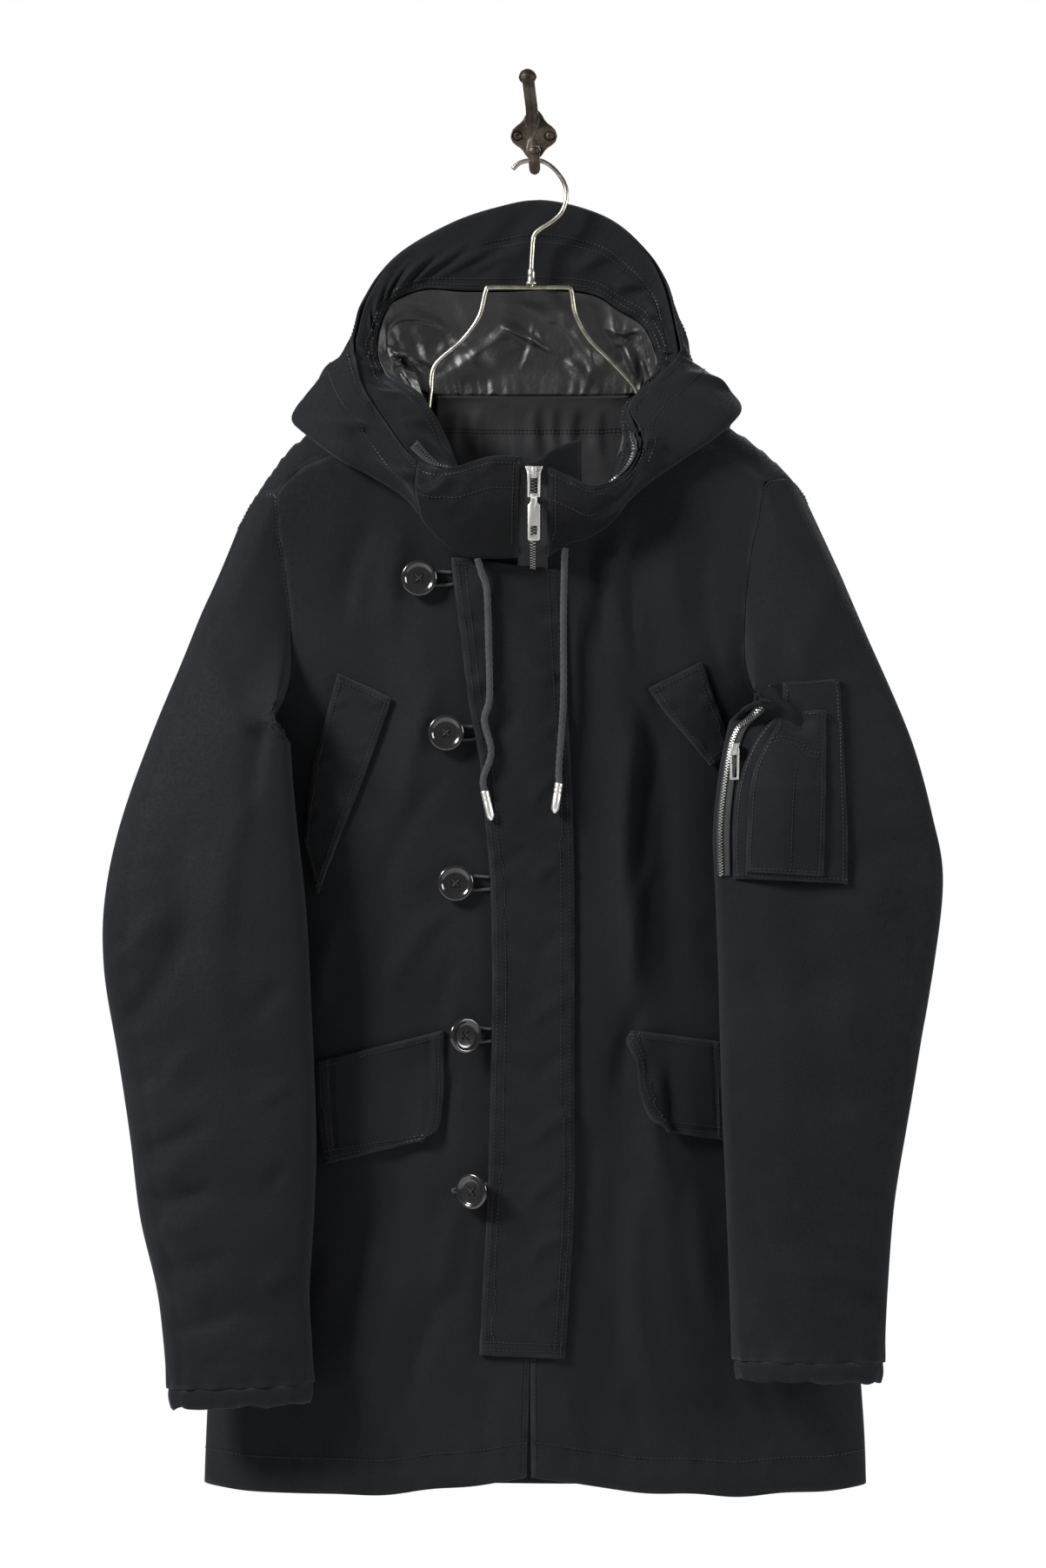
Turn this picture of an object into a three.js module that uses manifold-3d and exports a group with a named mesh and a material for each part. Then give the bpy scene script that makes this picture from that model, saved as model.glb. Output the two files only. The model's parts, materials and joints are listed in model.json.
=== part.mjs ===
// A black hooded parka on a wire hanger, hung from a cast double hook screwed to a wall.
// Millimetres, +Z up. The origin is the middle of the hook plate's flat back, the wall is the plane y = 0,
// the front faces -Y and +X is the wearer's left side.
import * as THREE from 'three';
import Module from 'manifold-3d';
import { mergeVertices } from 'three/addons/utils/BufferGeometryUtils.js';

const wasm = await Module();
wasm.setup();

// Driving sizes
const CLOTH_WALL = 2;            // twill shell with its interlining
const DOUBLE_WALL = 2.6;         // two layers sewn together, as on a placket or flap
const LINING_WALL = 1.2;
const SEAM_GAP = 0.3;            // between pieces that are sewn edge to edge
const LAY_GAP = 0.9;             // between a panel and what is sewn flat on it
const CENTRE_X = -3;             // where the two fronts meet
const BODY_MIDDLE_Y = -42;       // the shoulder line lies over the hanger
const SIDE_ROUND = 150;          // how far in from a side seam the body rounds off
const RIDGE_ROUND = 40;          // how far below the shoulder line it rounds off
const WIRE = 3.2;                // hanger wire
const CORD = 5.4;                // braided drawcord
const BUTTON = 28;

const root = new THREE.Group();

function addPiece(name, geometry, look) {
  const mesh = new THREE.Mesh(geometry, new THREE.MeshStandardMaterial(look));
  mesh.name = name;
  root.add(mesh);
  return mesh;
}

const twill = { color: 0x16181b, roughness: 0.85 };
const satin = { color: 0x2b2c30, roughness: 0.4 };
const braid = { color: 0x222224, roughness: 0.9 };
const nickel = { color: 0xc9c9c6, roughness: 0.25, metalness: 1 };
const wireBrass = { color: 0x9a8f78, roughness: 0.35, metalness: 1 };
const iron = { color: 0x3c322b, roughness: 0.6, metalness: 0.8 };
const horn = { color: 0x0b0b0c, roughness: 0.2 };

// Tables are read between their rows along a smooth curve through them.
function through(before, from, to, after, part) {
  const slopeFrom = (to - before) / 2;
  const slopeTo = (after - from) / 2;
  const square = part * part;
  const cube = square * part;
  return (2 * cube - 3 * square + 1) * from + (cube - 2 * square + part) * slopeFrom
    + (3 * square - 2 * cube) * to + (cube - square) * slopeTo;
}

function rowAt(rows, place) {
  const last = rows.length - 1;
  const index = Math.min(Math.max(Math.floor(place), 0), last - 1);
  const part = place - index;
  const row = {};
  for (const column of Object.keys(rows[0])) {
    row[column] = through(rows[Math.max(index - 1, 0)][column], rows[index][column],
      rows[index + 1][column], rows[Math.min(index + 2, last)][column], part);
  }
  return row;
}

// Reads a table by one of its own columns, which rises or falls all the way down.
function rowWhere(rows, column, value) {
  const last = rows.length - 1;
  const falls = rows[last][column] < rows[0][column];
  let index = 0;
  while (index < last - 1 && (falls ? value < rows[index + 1][column] : value > rows[index + 1][column])) {
    index += 1;
  }
  const step = rows[index + 1][column] - rows[index][column];
  return rowAt(rows, index + Math.min(Math.max((value - rows[index][column]) / step, 0), 1));
}

function mix(a, b, part) {
  return a + (b - a) * part;
}

// Rises from 0 at an edge to 1, as a quarter of a circle does.
function roundOff(distance, reach) {
  const left = 1 - Math.min(Math.max(distance / reach, 0), 1);
  return Math.sqrt(1 - left * left);
}

// Cloth walls: a grid of outer points, and the same grid moved in along the normals.
function gridNormals(grid, closed) {
  const rows = grid.length;
  const columns = grid[0].length;
  return grid.map((line, row) => line.map((point, column) => {
    const up = grid[Math.min(row + 1, rows - 1)][column].clone().sub(grid[Math.max(row - 1, 0)][column]);
    const next = closed ? (column + 1) % columns : Math.min(column + 1, columns - 1);
    const previous = closed ? (column + columns - 1) % columns : Math.max(column - 1, 0);
    const across = line[next].clone().sub(line[previous]);
    return up.cross(across).normalize();
  }));
}

function wall(outer, normals, thickness, closed = false) {
  const rows = outer.length;
  const columns = outer[0].length;
  const inner = outer.map((line, row) => line.map((point, column) => (
    point.clone().addScaledVector(normals[row][column], -thickness))));
  const positions = [];
  for (const grid of [outer, inner]) {
    for (const line of grid) {
      for (const point of line) {
        positions.push(point.x, point.y, point.z);
      }
    }
  }
  const faces = [];
  const at = (layer, row, column) => layer * rows * columns + row * columns + (column % columns);
  const quad = (a, b, c, d) => faces.push(a, b, c, a, c, d);
  const steps = closed ? columns : columns - 1;
  for (let row = 0; row < rows - 1; row += 1) {
    for (let column = 0; column < steps; column += 1) {
      quad(at(0, row, column), at(0, row, column + 1), at(0, row + 1, column + 1), at(0, row + 1, column));
      quad(at(1, row, column), at(1, row + 1, column), at(1, row + 1, column + 1), at(1, row, column + 1));
    }
  }
  for (let column = 0; column < steps; column += 1) {
    quad(at(0, 0, column), at(1, 0, column), at(1, 0, column + 1), at(0, 0, column + 1));
    const top = rows - 1;
    quad(at(0, top, column), at(0, top, column + 1), at(1, top, column + 1), at(1, top, column));
  }
  if (!closed) {
    const side = columns - 1;
    for (let row = 0; row < rows - 1; row += 1) {
      quad(at(0, row, 0), at(0, row + 1, 0), at(1, row + 1, 0), at(1, row, 0));
      quad(at(0, row, side), at(1, row, side), at(1, row + 1, side), at(0, row + 1, side));
    }
  }
  return facingOut(positions, faces);
}

// The volume of a closed skin is below nothing when its faces point in, and then they are turned.
function facingOut(positions, faces) {
  let volume = 0;
  const corner = (index) => new THREE.Vector3().fromArray(positions, index * 3);
  for (let face = 0; face < faces.length; face += 3) {
    const a = corner(faces[face]);
    volume += a.dot(corner(faces[face + 1]).cross(corner(faces[face + 2])));
  }
  if (volume < 0) {
    for (let face = 0; face < faces.length; face += 3) {
      [faces[face + 1], faces[face + 2]] = [faces[face + 2], faces[face + 1]];
    }
  }
  const geometry = new THREE.BufferGeometry();
  geometry.setAttribute('position', new THREE.Float32BufferAttribute(positions, 3));
  geometry.setIndex(faces);
  return geometry;
}

// The shoulder line, seen from the front
const ridgeRows = [
  { x: -232, z: -312 }, { x: -220, z: -291 }, { x: -210, z: -275 }, { x: -193, z: -252 },
  { x: -178, z: -238 }, { x: -140, z: -222 }, { x: -98, z: -208 }, { x: 0, z: -196 }, { x: 98, z: -208 }, { x: 130, z: -221 },
  { x: 151, z: -231 }, { x: 174, z: -247 }, { x: 194, z: -265 }, { x: 213, z: -287 }, { x: 222, z: -298 },
];

// The body at each level: half its width on the wearer's right and left, the side seams' depth, and how far
// the front and back stand out. Above the armpits the sleeves take over, so the sides run wide there.
const bodyRows = [
  { level: -190, right: 420, left: 400, side: -42, front: -72, back: -25 },
  { level: -300, right: 400, left: 380, side: -42, front: -74, back: -25 },
  { level: -400, right: 340, left: 320, side: -42, front: -77, back: -20 },
  { level: -430, right: 286, left: 268, side: -42, front: -78, back: -18 },
  { level: -455, right: 246, left: 230, side: -41, front: -78, back: -16 },
  { level: -478, right: 222, left: 205, side: -40, front: -79, back: -14 },
  { level: -560, right: 228, left: 220, side: -39, front: -79, back: -10 },
  { level: -780, right: 243, left: 241, side: -38, front: -79, back: -7 },
  { level: -1060, right: 257, left: 259, side: -38, front: -76, back: -6 },
];

// Soft folds of the hanging cloth. Each runs from its top to its foot and moves the cloth back by its
// height, or forward where the height is below nothing.
const frontFolds = [
  { topX: 62, topZ: -330, footX: 84, footZ: -700, wide: 26, height: -5 },
  { topX: 88, topZ: -380, footX: 104, footZ: -690, wide: 24, height: 5 },
  { topX: 96, topZ: -730, footX: 128, footZ: -960, wide: 30, height: -5 },
  { topX: 62, topZ: -720, footX: 66, footZ: -1060, wide: 30, height: 5 },
  { topX: 150, topZ: -800, footX: 170, footZ: -1060, wide: 34, height: 4 },
  { topX: -92, topZ: -360, footX: -84, footZ: -560, wide: 28, height: -4 },
  { topX: -76, topZ: -600, footX: -100, footZ: -900, wide: 28, height: 4 },
  { topX: -62, topZ: -720, footX: -150, footZ: -1060, wide: 30, height: -5 },
  { topX: -170, topZ: -800, footX: -200, footZ: -1060, wide: 34, height: 4 },
];
const backFolds = [
  { topX: -60, topZ: -380, footX: -80, footZ: -1060, wide: 34, height: -4 },
  { topX: 20, topZ: -360, footX: 30, footZ: -1060, wide: 34, height: -4 },
  { topX: 110, topZ: -420, footX: 120, footZ: -1060, wide: 36, height: -4 },
  { topX: -150, topZ: -430, footX: -170, footZ: -1060, wide: 36, height: -3 },
];

function foldsAt(folds, x, z) {
  let sum = 0;
  for (const fold of folds) {
    const down = (fold.topZ - z) / (fold.topZ - fold.footZ);
    const across = (x - mix(fold.topX, fold.footX, down)) / fold.wide;
    const fade = Math.sin(Math.PI * Math.min(Math.max(down * 0.75 + 0.12, 0), 1)) ** 2;
    sum += fold.height * fade * Math.exp(-across * across * 2);
  }
  return sum;
}

function ridgeZ(x) {
  return rowWhere(ridgeRows, 'x', x).z;
}

function bodyDepth(x, z, face, folds) {
  const level = rowWhere(bodyRows, 'level', z);
  const inFromSide = (x < 0 ? level.right : level.left) - Math.abs(x);
  const rounding = roundOff(inFromSide, SIDE_ROUND) * roundOff(ridgeZ(x) - z, RIDGE_ROUND);
  return level.side + (level[face] - level.side) * rounding + foldsAt(folds, x, z) * rounding;
}

function frontPoint(x, z) {
  return new THREE.Vector3(x, bodyDepth(x, z, 'front', frontFolds), z);
}

// On the back, a height above the shoulder line stands for cloth that has gone over it to the front.
function backPoint(x, height) {
  const ridge = ridgeZ(x);
  if (height > ridge) {
    return frontPoint(x, 2 * ridge - height);
  }
  return new THREE.Vector3(x, bodyDepth(x, height, 'back', backFolds), height);
}

// The normal of a surface given by two numbers, from points a hair away.
function surfaceNormal(surface, u, v) {
  const hair = 0.05;
  const across = surface(u + hair, v).sub(surface(u - hair, v));
  const up = surface(u, v + hair).sub(surface(u, v - hair));
  return across.cross(up).normalize();
}

// Body panels: each row runs from an inner edge to an outer edge.
const frontRows = [
  { inner: 0, innerZ: -1045, right: 257, rightZ: -1054, left: 259, leftZ: -1055 },
  { inner: 0, innerZ: -1004, right: 255, rightZ: -1005, left: 257, leftZ: -1005 },
  { inner: 0, innerZ: -900, right: 249, rightZ: -900, left: 249, leftZ: -900 },
  { inner: 0, innerZ: -780, right: 243, rightZ: -780, left: 241, leftZ: -780 },
  { inner: 0, innerZ: -660, right: 235, rightZ: -660, left: 231, leftZ: -660 },
  { inner: 0, innerZ: -560, right: 228, rightZ: -560, left: 220, leftZ: -560 },
  { inner: 0, innerZ: -480, right: 222, rightZ: -478, left: 207, leftZ: -472 },
  { inner: 0, innerZ: -435, right: 202, rightZ: -461, left: 181, leftZ: -455 },
  { inner: 0, innerZ: -400, right: 188, rightZ: -430, left: 164, leftZ: -424 },
  { inner: 0, innerZ: -362, right: 188, rightZ: -385, left: 163, leftZ: -375 },
  { inner: 8, innerZ: -326, right: 193, rightZ: -340, left: 168, leftZ: -330 },
  { inner: 52, innerZ: -298, right: 198, rightZ: -312, left: 174, leftZ: -304 },
  { inner: 94, innerZ: -234, right: 199, rightZ: -291, left: 178, leftZ: -284 },
];
const frontSteps = [0, 0.5, 1, 2, 3, 4, 5, 6, 6.5, 7, 7.5, 8, 9, 10, 11, 11.5, 12];
const ARMPIT_ROW = 6;
const HEM_SAG = 9;
const SEAM_DROP = 26;            // the shoulder seam lies this far below the shoulder line, in front
const FRONT_COLUMNS = 13;
const FRONT_CLOSER = 1.6;        // columns lie closer together towards the side seam

function frontPanel(side) {
  const outerColumn = side < 0 ? 'right' : 'left';
  const points = [];
  const normals = [];
  const last = frontRows.length - 1;
  for (const place of frontSteps) {
    const row = rowAt(frontRows, place);
    const line = [];
    const lineNormals = [];
    for (let column = 0; column < FRONT_COLUMNS; column += 1) {
      const part = column / (FRONT_COLUMNS - 1);
      const across = 1 - (1 - part) ** FRONT_CLOSER;
      const bow = Math.sin(Math.PI * across);
      const innerX = CENTRE_X + side * (row.inner + SEAM_GAP);
      const x = mix(innerX, side * row[outerColumn], across);
      let z = mix(row.innerZ, row[`${outerColumn}Z`], across);
      z -= HEM_SAG * bow * Math.max(1 - place, 0);
      z = mix(z, ridgeZ(x) - SEAM_DROP - 2 * SEAM_GAP, Math.max(place - last + 1, 0));
      const point = frontPoint(x, z);
      const normal = surfaceNormal(frontPoint, x, z);
      if (column === FRONT_COLUMNS - 1 && place <= ARMPIT_ROW) {
        normal.set(side, 0, 0);
        point.y -= SEAM_GAP / 2;
      }
      line.push(point);
      lineNormals.push(normal);
    }
    points.push(line);
    normals.push(lineNormals);
  }
  return { points, normals };
}

const backRows = [
  { right: 257, rightZ: -1054, left: 259, leftZ: -1055 },
  { right: 255, rightZ: -1005, left: 257, leftZ: -1005 },
  { right: 249, rightZ: -900, left: 249, leftZ: -900 },
  { right: 243, rightZ: -780, left: 241, leftZ: -780 },
  { right: 235, rightZ: -660, left: 231, leftZ: -660 },
  { right: 228, rightZ: -560, left: 220, leftZ: -560 },
  { right: 222, rightZ: -478, left: 207, leftZ: -472 },
  { right: 204, rightZ: -458, left: 185, leftZ: -452 },
  { right: 195, rightZ: -425, left: 174, leftZ: -418 },
  { right: 197, rightZ: -375, left: 177, leftZ: -365 },
  { right: 208, rightZ: -336, left: 191, leftZ: -320 },
  { right: 222, rightZ: -314, left: 204, leftZ: -299 },
  { right: 230, rightZ: -308, left: 213, leftZ: -287 },
  { right: 219, rightZ: -284, left: 202, leftZ: -268 },
  { right: 209, rightZ: -259, left: 190, leftZ: -242 },
  { right: 199, rightZ: -229, left: 178, leftZ: -216 },
];
const TIP_ROW = 12;               // where the edge crosses the shoulder line
const backSteps = [0, 0.5, 1, 2, 3, 4, 5, 6, 6.5, 7, 8, 9, 10, 11, 12, 13, 14, 14.5, 15];
const BACK_COLUMNS = 23;
const BACK_CLOSER = 14;          // columns lie closer together at both sides
const BACK_SAG = 0.6;             // of the fronts' sag

// The back's top edge: over the shoulders to the seams in front of them, and down round the neck between.
const NECK_WIDE = 98;
const NECK_TURN = 12;
const BACK_NECK_Z = -209;
function backTop(x) {
  const share = Math.min(Math.max((Math.abs(x) - NECK_WIDE + NECK_TURN) / NECK_TURN, 0), 1);
  return mix(BACK_NECK_Z, ridgeZ(x) + SEAM_DROP, share * share * (3 - 2 * share));
}

function backPanel() {
  const last = backRows.length - 1;
  const rows = backSteps.map((place) => {
    const row = rowAt(backRows, place);
    const lift = (place / last) ** 3;
    return Array.from({ length: BACK_COLUMNS }, (unused, column) => {
      const part = column / (BACK_COLUMNS - 1);
      const across = part - Math.sin(2 * Math.PI * part) / BACK_CLOSER;
      const straightTop = mix(backRows[last].rightZ, backRows[last].leftZ, across);
      const topX = mix(-backRows[last].right, backRows[last].left, across);
      const sag = HEM_SAG * BACK_SAG * Math.sin(Math.PI * across) * Math.max(1 - place, 0);
      return {
        x: mix(-row.right, row.left, across),
        height: mix(row.rightZ, row.leftZ, across) + lift * (backTop(topX) - straightTop) - sag,
      };
    });
  });
  // In each column the point nearest the shoulder line is set on it.
  for (let column = 0; column < BACK_COLUMNS; column += 1) {
    const above = rows.map((line) => line[column].height - ridgeZ(line[column].x));
    if (above[above.length - 1] > 0) {
      const nearest = above.reduce((best, gap, row) => (
        Math.abs(gap) < Math.abs(above[best]) ? row : best), 0);
      rows[nearest][column].height -= above[nearest];
    }
  }
  const points = [];
  const normals = [];
  for (const [index, place] of backSteps.entries()) {
    points.push(rows[index].map(({ x, height }) => backPoint(x, height)));
    normals.push(rows[index].map(({ x, height }) => surfaceNormal(backPoint, x, height).negate()));
    if (place <= ARMPIT_ROW) {
      for (const column of [0, BACK_COLUMNS - 1]) {
        normals[index][column].set(column === 0 ? -1 : 1, 0, 0);
        points[index][column].y += SEAM_GAP / 2;
      }
    }
  }
  return { points, normals };
}

const rightFront = frontPanel(-1);
const leftFront = frontPanel(1);
const back = backPanel();
addPiece('front_right', wall(rightFront.points, rightFront.normals, CLOTH_WALL), twill);
addPiece('front_left', wall(leftFront.points, leftFront.normals, CLOTH_WALL), twill);
addPiece('back', wall(back.points, back.normals, CLOTH_WALL), twill);

// Sleeves: a closed tube of sections from the armhole to the cuff. The outer edge is the one away from the
// body, and half is half the thickness.
const sleeveRows = {
  right: [
    { outerX: -283, outerY: -68, outerZ: -440, innerX: -186, innerY: -97, innerZ: -478, half: 24 },
    { outerX: -310, outerY: -84, outerZ: -512, innerX: -182, innerY: -101, innerZ: -536, half: 25 },
    { outerX: -328, outerY: -92, outerZ: -589, innerX: -176, innerY: -103, innerZ: -602, half: 25 },
    { outerX: -330, outerY: -95, outerZ: -650, innerX: -172, innerY: -104, innerZ: -660, half: 25 },
    { outerX: -320, outerY: -96, outerZ: -718, innerX: -169, innerY: -104, innerZ: -722, half: 25 },
    { outerX: -309, outerY: -96, outerZ: -785, innerX: -168, innerY: -104, innerZ: -788, half: 25 },
    { outerX: -301, outerY: -96, outerZ: -842, innerX: -170, innerY: -103, innerZ: -846, half: 24 },
    { outerX: -289, outerY: -96, outerZ: -895, innerX: -173, innerY: -102, innerZ: -898, half: 23 },
    { outerX: -284, outerY: -96, outerZ: -935, innerX: -171, innerY: -101, innerZ: -934, half: 22 },
    { outerX: -281, outerY: -96, outerZ: -973, innerX: -169, innerY: -100, innerZ: -968, half: 21 },
  ],
  left: [
    { outerX: 272, outerY: -68, outerZ: -428, innerX: 150, innerY: -98, innerZ: -462, half: 24 },
    { outerX: 293, outerY: -84, outerZ: -482, innerX: 141, innerY: -102, innerZ: -502, half: 25 },
    { outerX: 307, outerY: -92, outerZ: -535, innerX: 136, innerY: -104, innerZ: -547, half: 25 },
    { outerX: 314, outerY: -95, outerZ: -582, innerX: 138, innerY: -105, innerZ: -590, half: 25 },
    { outerX: 306, outerY: -96, outerZ: -649, innerX: 141, innerY: -105, innerZ: -655, half: 25 },
    { outerX: 296, outerY: -96, outerZ: -709, innerX: 143, innerY: -105, innerZ: -715, half: 25 },
    { outerX: 286, outerY: -96, outerZ: -779, innerX: 145, innerY: -104, innerZ: -780, half: 24 },
    { outerX: 276, outerY: -96, outerZ: -839, innerX: 147, innerY: -103, innerZ: -840, half: 23 },
    { outerX: 271, outerY: -96, outerZ: -895, innerX: 150, innerY: -102, innerZ: -897, half: 22 },
    { outerX: 268, outerY: -96, outerZ: -953, innerX: 153, innerY: -101, innerZ: -950, half: 21 },
  ],
};
const HEAD_STEPS = [0, 0.08, 0.22, 0.45, 0.72];     // from the armhole to the first section
const SLEEVE_STEPS = [0, 0.5, 1, 1.5, 2, 3, 4, 5, 6, 7, 8, 9];
const UNDERARM_OUT = 38;         // the cloth under the arm stands out in front of the body
const UNDERARM_SIDE = 0.1;       // of that way, it also goes out to the side
const UNDERARM_UP = 0.35;        // and up
const SECTION_SQUARE = 0.85;     // below 1 a section is fuller than an ellipse
const CREASE_REACH = 0.35;

// Elbow and forearm creases: how far down the sleeve, and how deep they draw the cloth in.
const sleeveCreases = [
  { place: 2.6, depth: 2.5 }, { place: 4.2, depth: 3 }, { place: 5.6, depth: 3 }, { place: 7.4, depth: 3 },
];

// One point of a panel's side edge, with its normal and a neighbour in the panel: the one beside it, or at
// the armpit the one below.
function edgeEntry(panel, row, left, atArmpit = false) {
  const line = panel.points[row];
  const place = left ? 0 : line.length - 1;
  return {
    point: line[place],
    normal: panel.normals[row][place],
    inside: atArmpit ? panel.points[row - 1][place] : line[left ? 1 : place - 1],
  };
}

// The armhole's edge: from the shoulder's tip down the front to the armpit, and up the back again.
function armholeLoop(side) {
  const front = side < 0 ? rightFront : leftFront;
  const loop = [];
  for (let row = backSteps.indexOf(TIP_ROW); row < backSteps.length; row += 1) {
    loop.push(edgeEntry(back, row, side < 0));
  }
  const armpitRow = frontSteps.indexOf(ARMPIT_ROW);
  for (let row = frontSteps.length - 2; row >= armpitRow; row -= 1) {
    loop.push(edgeEntry(front, row, false, row === armpitRow));
  }
  const armpit = loop.length - 1;
  for (let row = backSteps.indexOf(ARMPIT_ROW) + 1; row < backSteps.indexOf(TIP_ROW); row += 1) {
    loop.push(edgeEntry(back, row, side < 0));
  }
  return { loop, armpit };
}

// The turn of each point round a section, from the outer edge over the front to the inner edge and back.
function turnsOf(loop, armpit) {
  const lengths = [0];
  for (let index = 1; index <= loop.length; index += 1) {
    const step = loop[index % loop.length].point.distanceTo(loop[index - 1].point);
    lengths.push(lengths[index - 1] + step);
  }
  const front = lengths[armpit];
  const whole = lengths[loop.length];
  return loop.map((entry, index) => (index <= armpit
    ? Math.PI * lengths[index] / front
    : Math.PI + Math.PI * (lengths[index] - front) / (whole - front)));
}

function sleevePoint(row, turn, shrink = 0) {
  const outer = new THREE.Vector3(row.outerX, row.outerY, row.outerZ);
  const inner = new THREE.Vector3(row.innerX, row.innerY, row.innerZ);
  const half = outer.clone().sub(inner).multiplyScalar(0.5);
  const middle = outer.clone().sub(half);
  half.setLength(half.length() - shrink);
  const deep = Math.sign(Math.sin(turn)) * Math.abs(Math.sin(turn)) ** SECTION_SQUARE;
  const towards = new THREE.Vector3(0, -deep * (row.half - shrink), 0);
  return middle.addScaledVector(half, Math.cos(turn)).add(towards);
}

function sleeve(side) {
  const { loop, armpit } = armholeLoop(side);
  const turns = turnsOf(loop, armpit);
  const rows = sleeveRows[side < 0 ? 'right' : 'left'];
  const edge = loop.map(({ point, normal, inside }, index) => {
    const along = loop[(index + 1) % loop.length].point.clone()
      .sub(loop[(index + loop.length - 1) % loop.length].point);
    const away = along.cross(normal).normalize();
    if (away.dot(point.clone().sub(inside)) < 0) {
      away.negate();
    }
    const nearArmpit = Math.abs(index - armpit) === 1;
    return point.clone().addScaledVector(away, nearArmpit ? 5 * SEAM_GAP : 2 * SEAM_GAP);
  });
  const grid = HEAD_STEPS.map((part) => edge.map((point, index) => {
    const moved = point.clone().lerp(sleevePoint(rows[0], turns[index]), part);
    const under = Math.max(-Math.cos(turns[index]), 0) ** 2
      * Math.sqrt(Math.sin(Math.PI * part)) * UNDERARM_OUT;
    return moved.add(new THREE.Vector3(side * under * UNDERARM_SIDE, -under, under * UNDERARM_UP));
  }));
  for (const place of SLEEVE_STEPS) {
    const row = rowAt(rows, place);
    for (const crease of sleeveCreases) {
      row.half -= crease.depth * Math.exp(-(((place - crease.place) / CREASE_REACH) ** 2));
    }
    grid.push(turns.map((turn) => sleevePoint(row, turn)));
  }
  const normals = gridNormals(grid, true);
  for (const [row, line] of normals.entries()) {
    for (const [column, normal] of line.entries()) {
      const centre = grid[row].reduce((sum, point) => sum.add(point), new THREE.Vector3())
        .divideScalar(turns.length);
      if (normal.dot(grid[row][column].clone().sub(centre)) < 0) {
        normal.negate();
      }
    }
  }
  normals[0] = loop.map(({ normal }) => normal.clone());
  return { grid, normals };
}

const rightSleeve = sleeve(-1);
const leftSleeve = sleeve(1);
addPiece('sleeve_right', wall(rightSleeve.grid, rightSleeve.normals, CLOTH_WALL, true), twill);
addPiece('sleeve_left', wall(leftSleeve.grid, leftSleeve.normals, CLOTH_WALL, true), twill);

// The cuffs end in a narrow bound edge.
const CUFF_BAND = 15;
const CUFF_COLUMNS = 24;
const CUFF_PULL = [0.6, 2];         // how far in it starts, and draws in further
function cuff(side) {
  const rows = sleeveRows[side < 0 ? 'right' : 'left'];
  const last = rows[rows.length - 1];
  const rings = [0, 0.5, 1].map((part) => {
    const drop = SEAM_GAP + part * CUFF_BAND;
    const pull = CUFF_PULL[0] + part * CUFF_PULL[1];
    return { ...last, outerZ: last.outerZ - drop, innerZ: last.innerZ - drop, pull };
  });
  const count = CUFF_COLUMNS;
  const grid = rings.map((row) => Array.from({ length: count }, (unused, index) => (
    sleevePoint(row, (2 * Math.PI * index) / count, row.pull))));
  const normals = grid.map((line) => {
    const centre = line.reduce((sum, point) => sum.add(point), new THREE.Vector3()).divideScalar(count);
    return line.map((point, index) => {
      const along = line[(index + 1) % count].clone().sub(line[(index + count - 1) % count]);
      const normal = along.cross(new THREE.Vector3(0, 0, 1)).normalize();
      return normal.dot(point.clone().sub(centre)) < 0 ? normal.negate() : normal;
    });
  });
  return wall(grid, normals, DOUBLE_WALL, true);
}

addPiece('cuff_right', cuff(-1), twill);
addPiece('cuff_left', cuff(1), twill);

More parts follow.
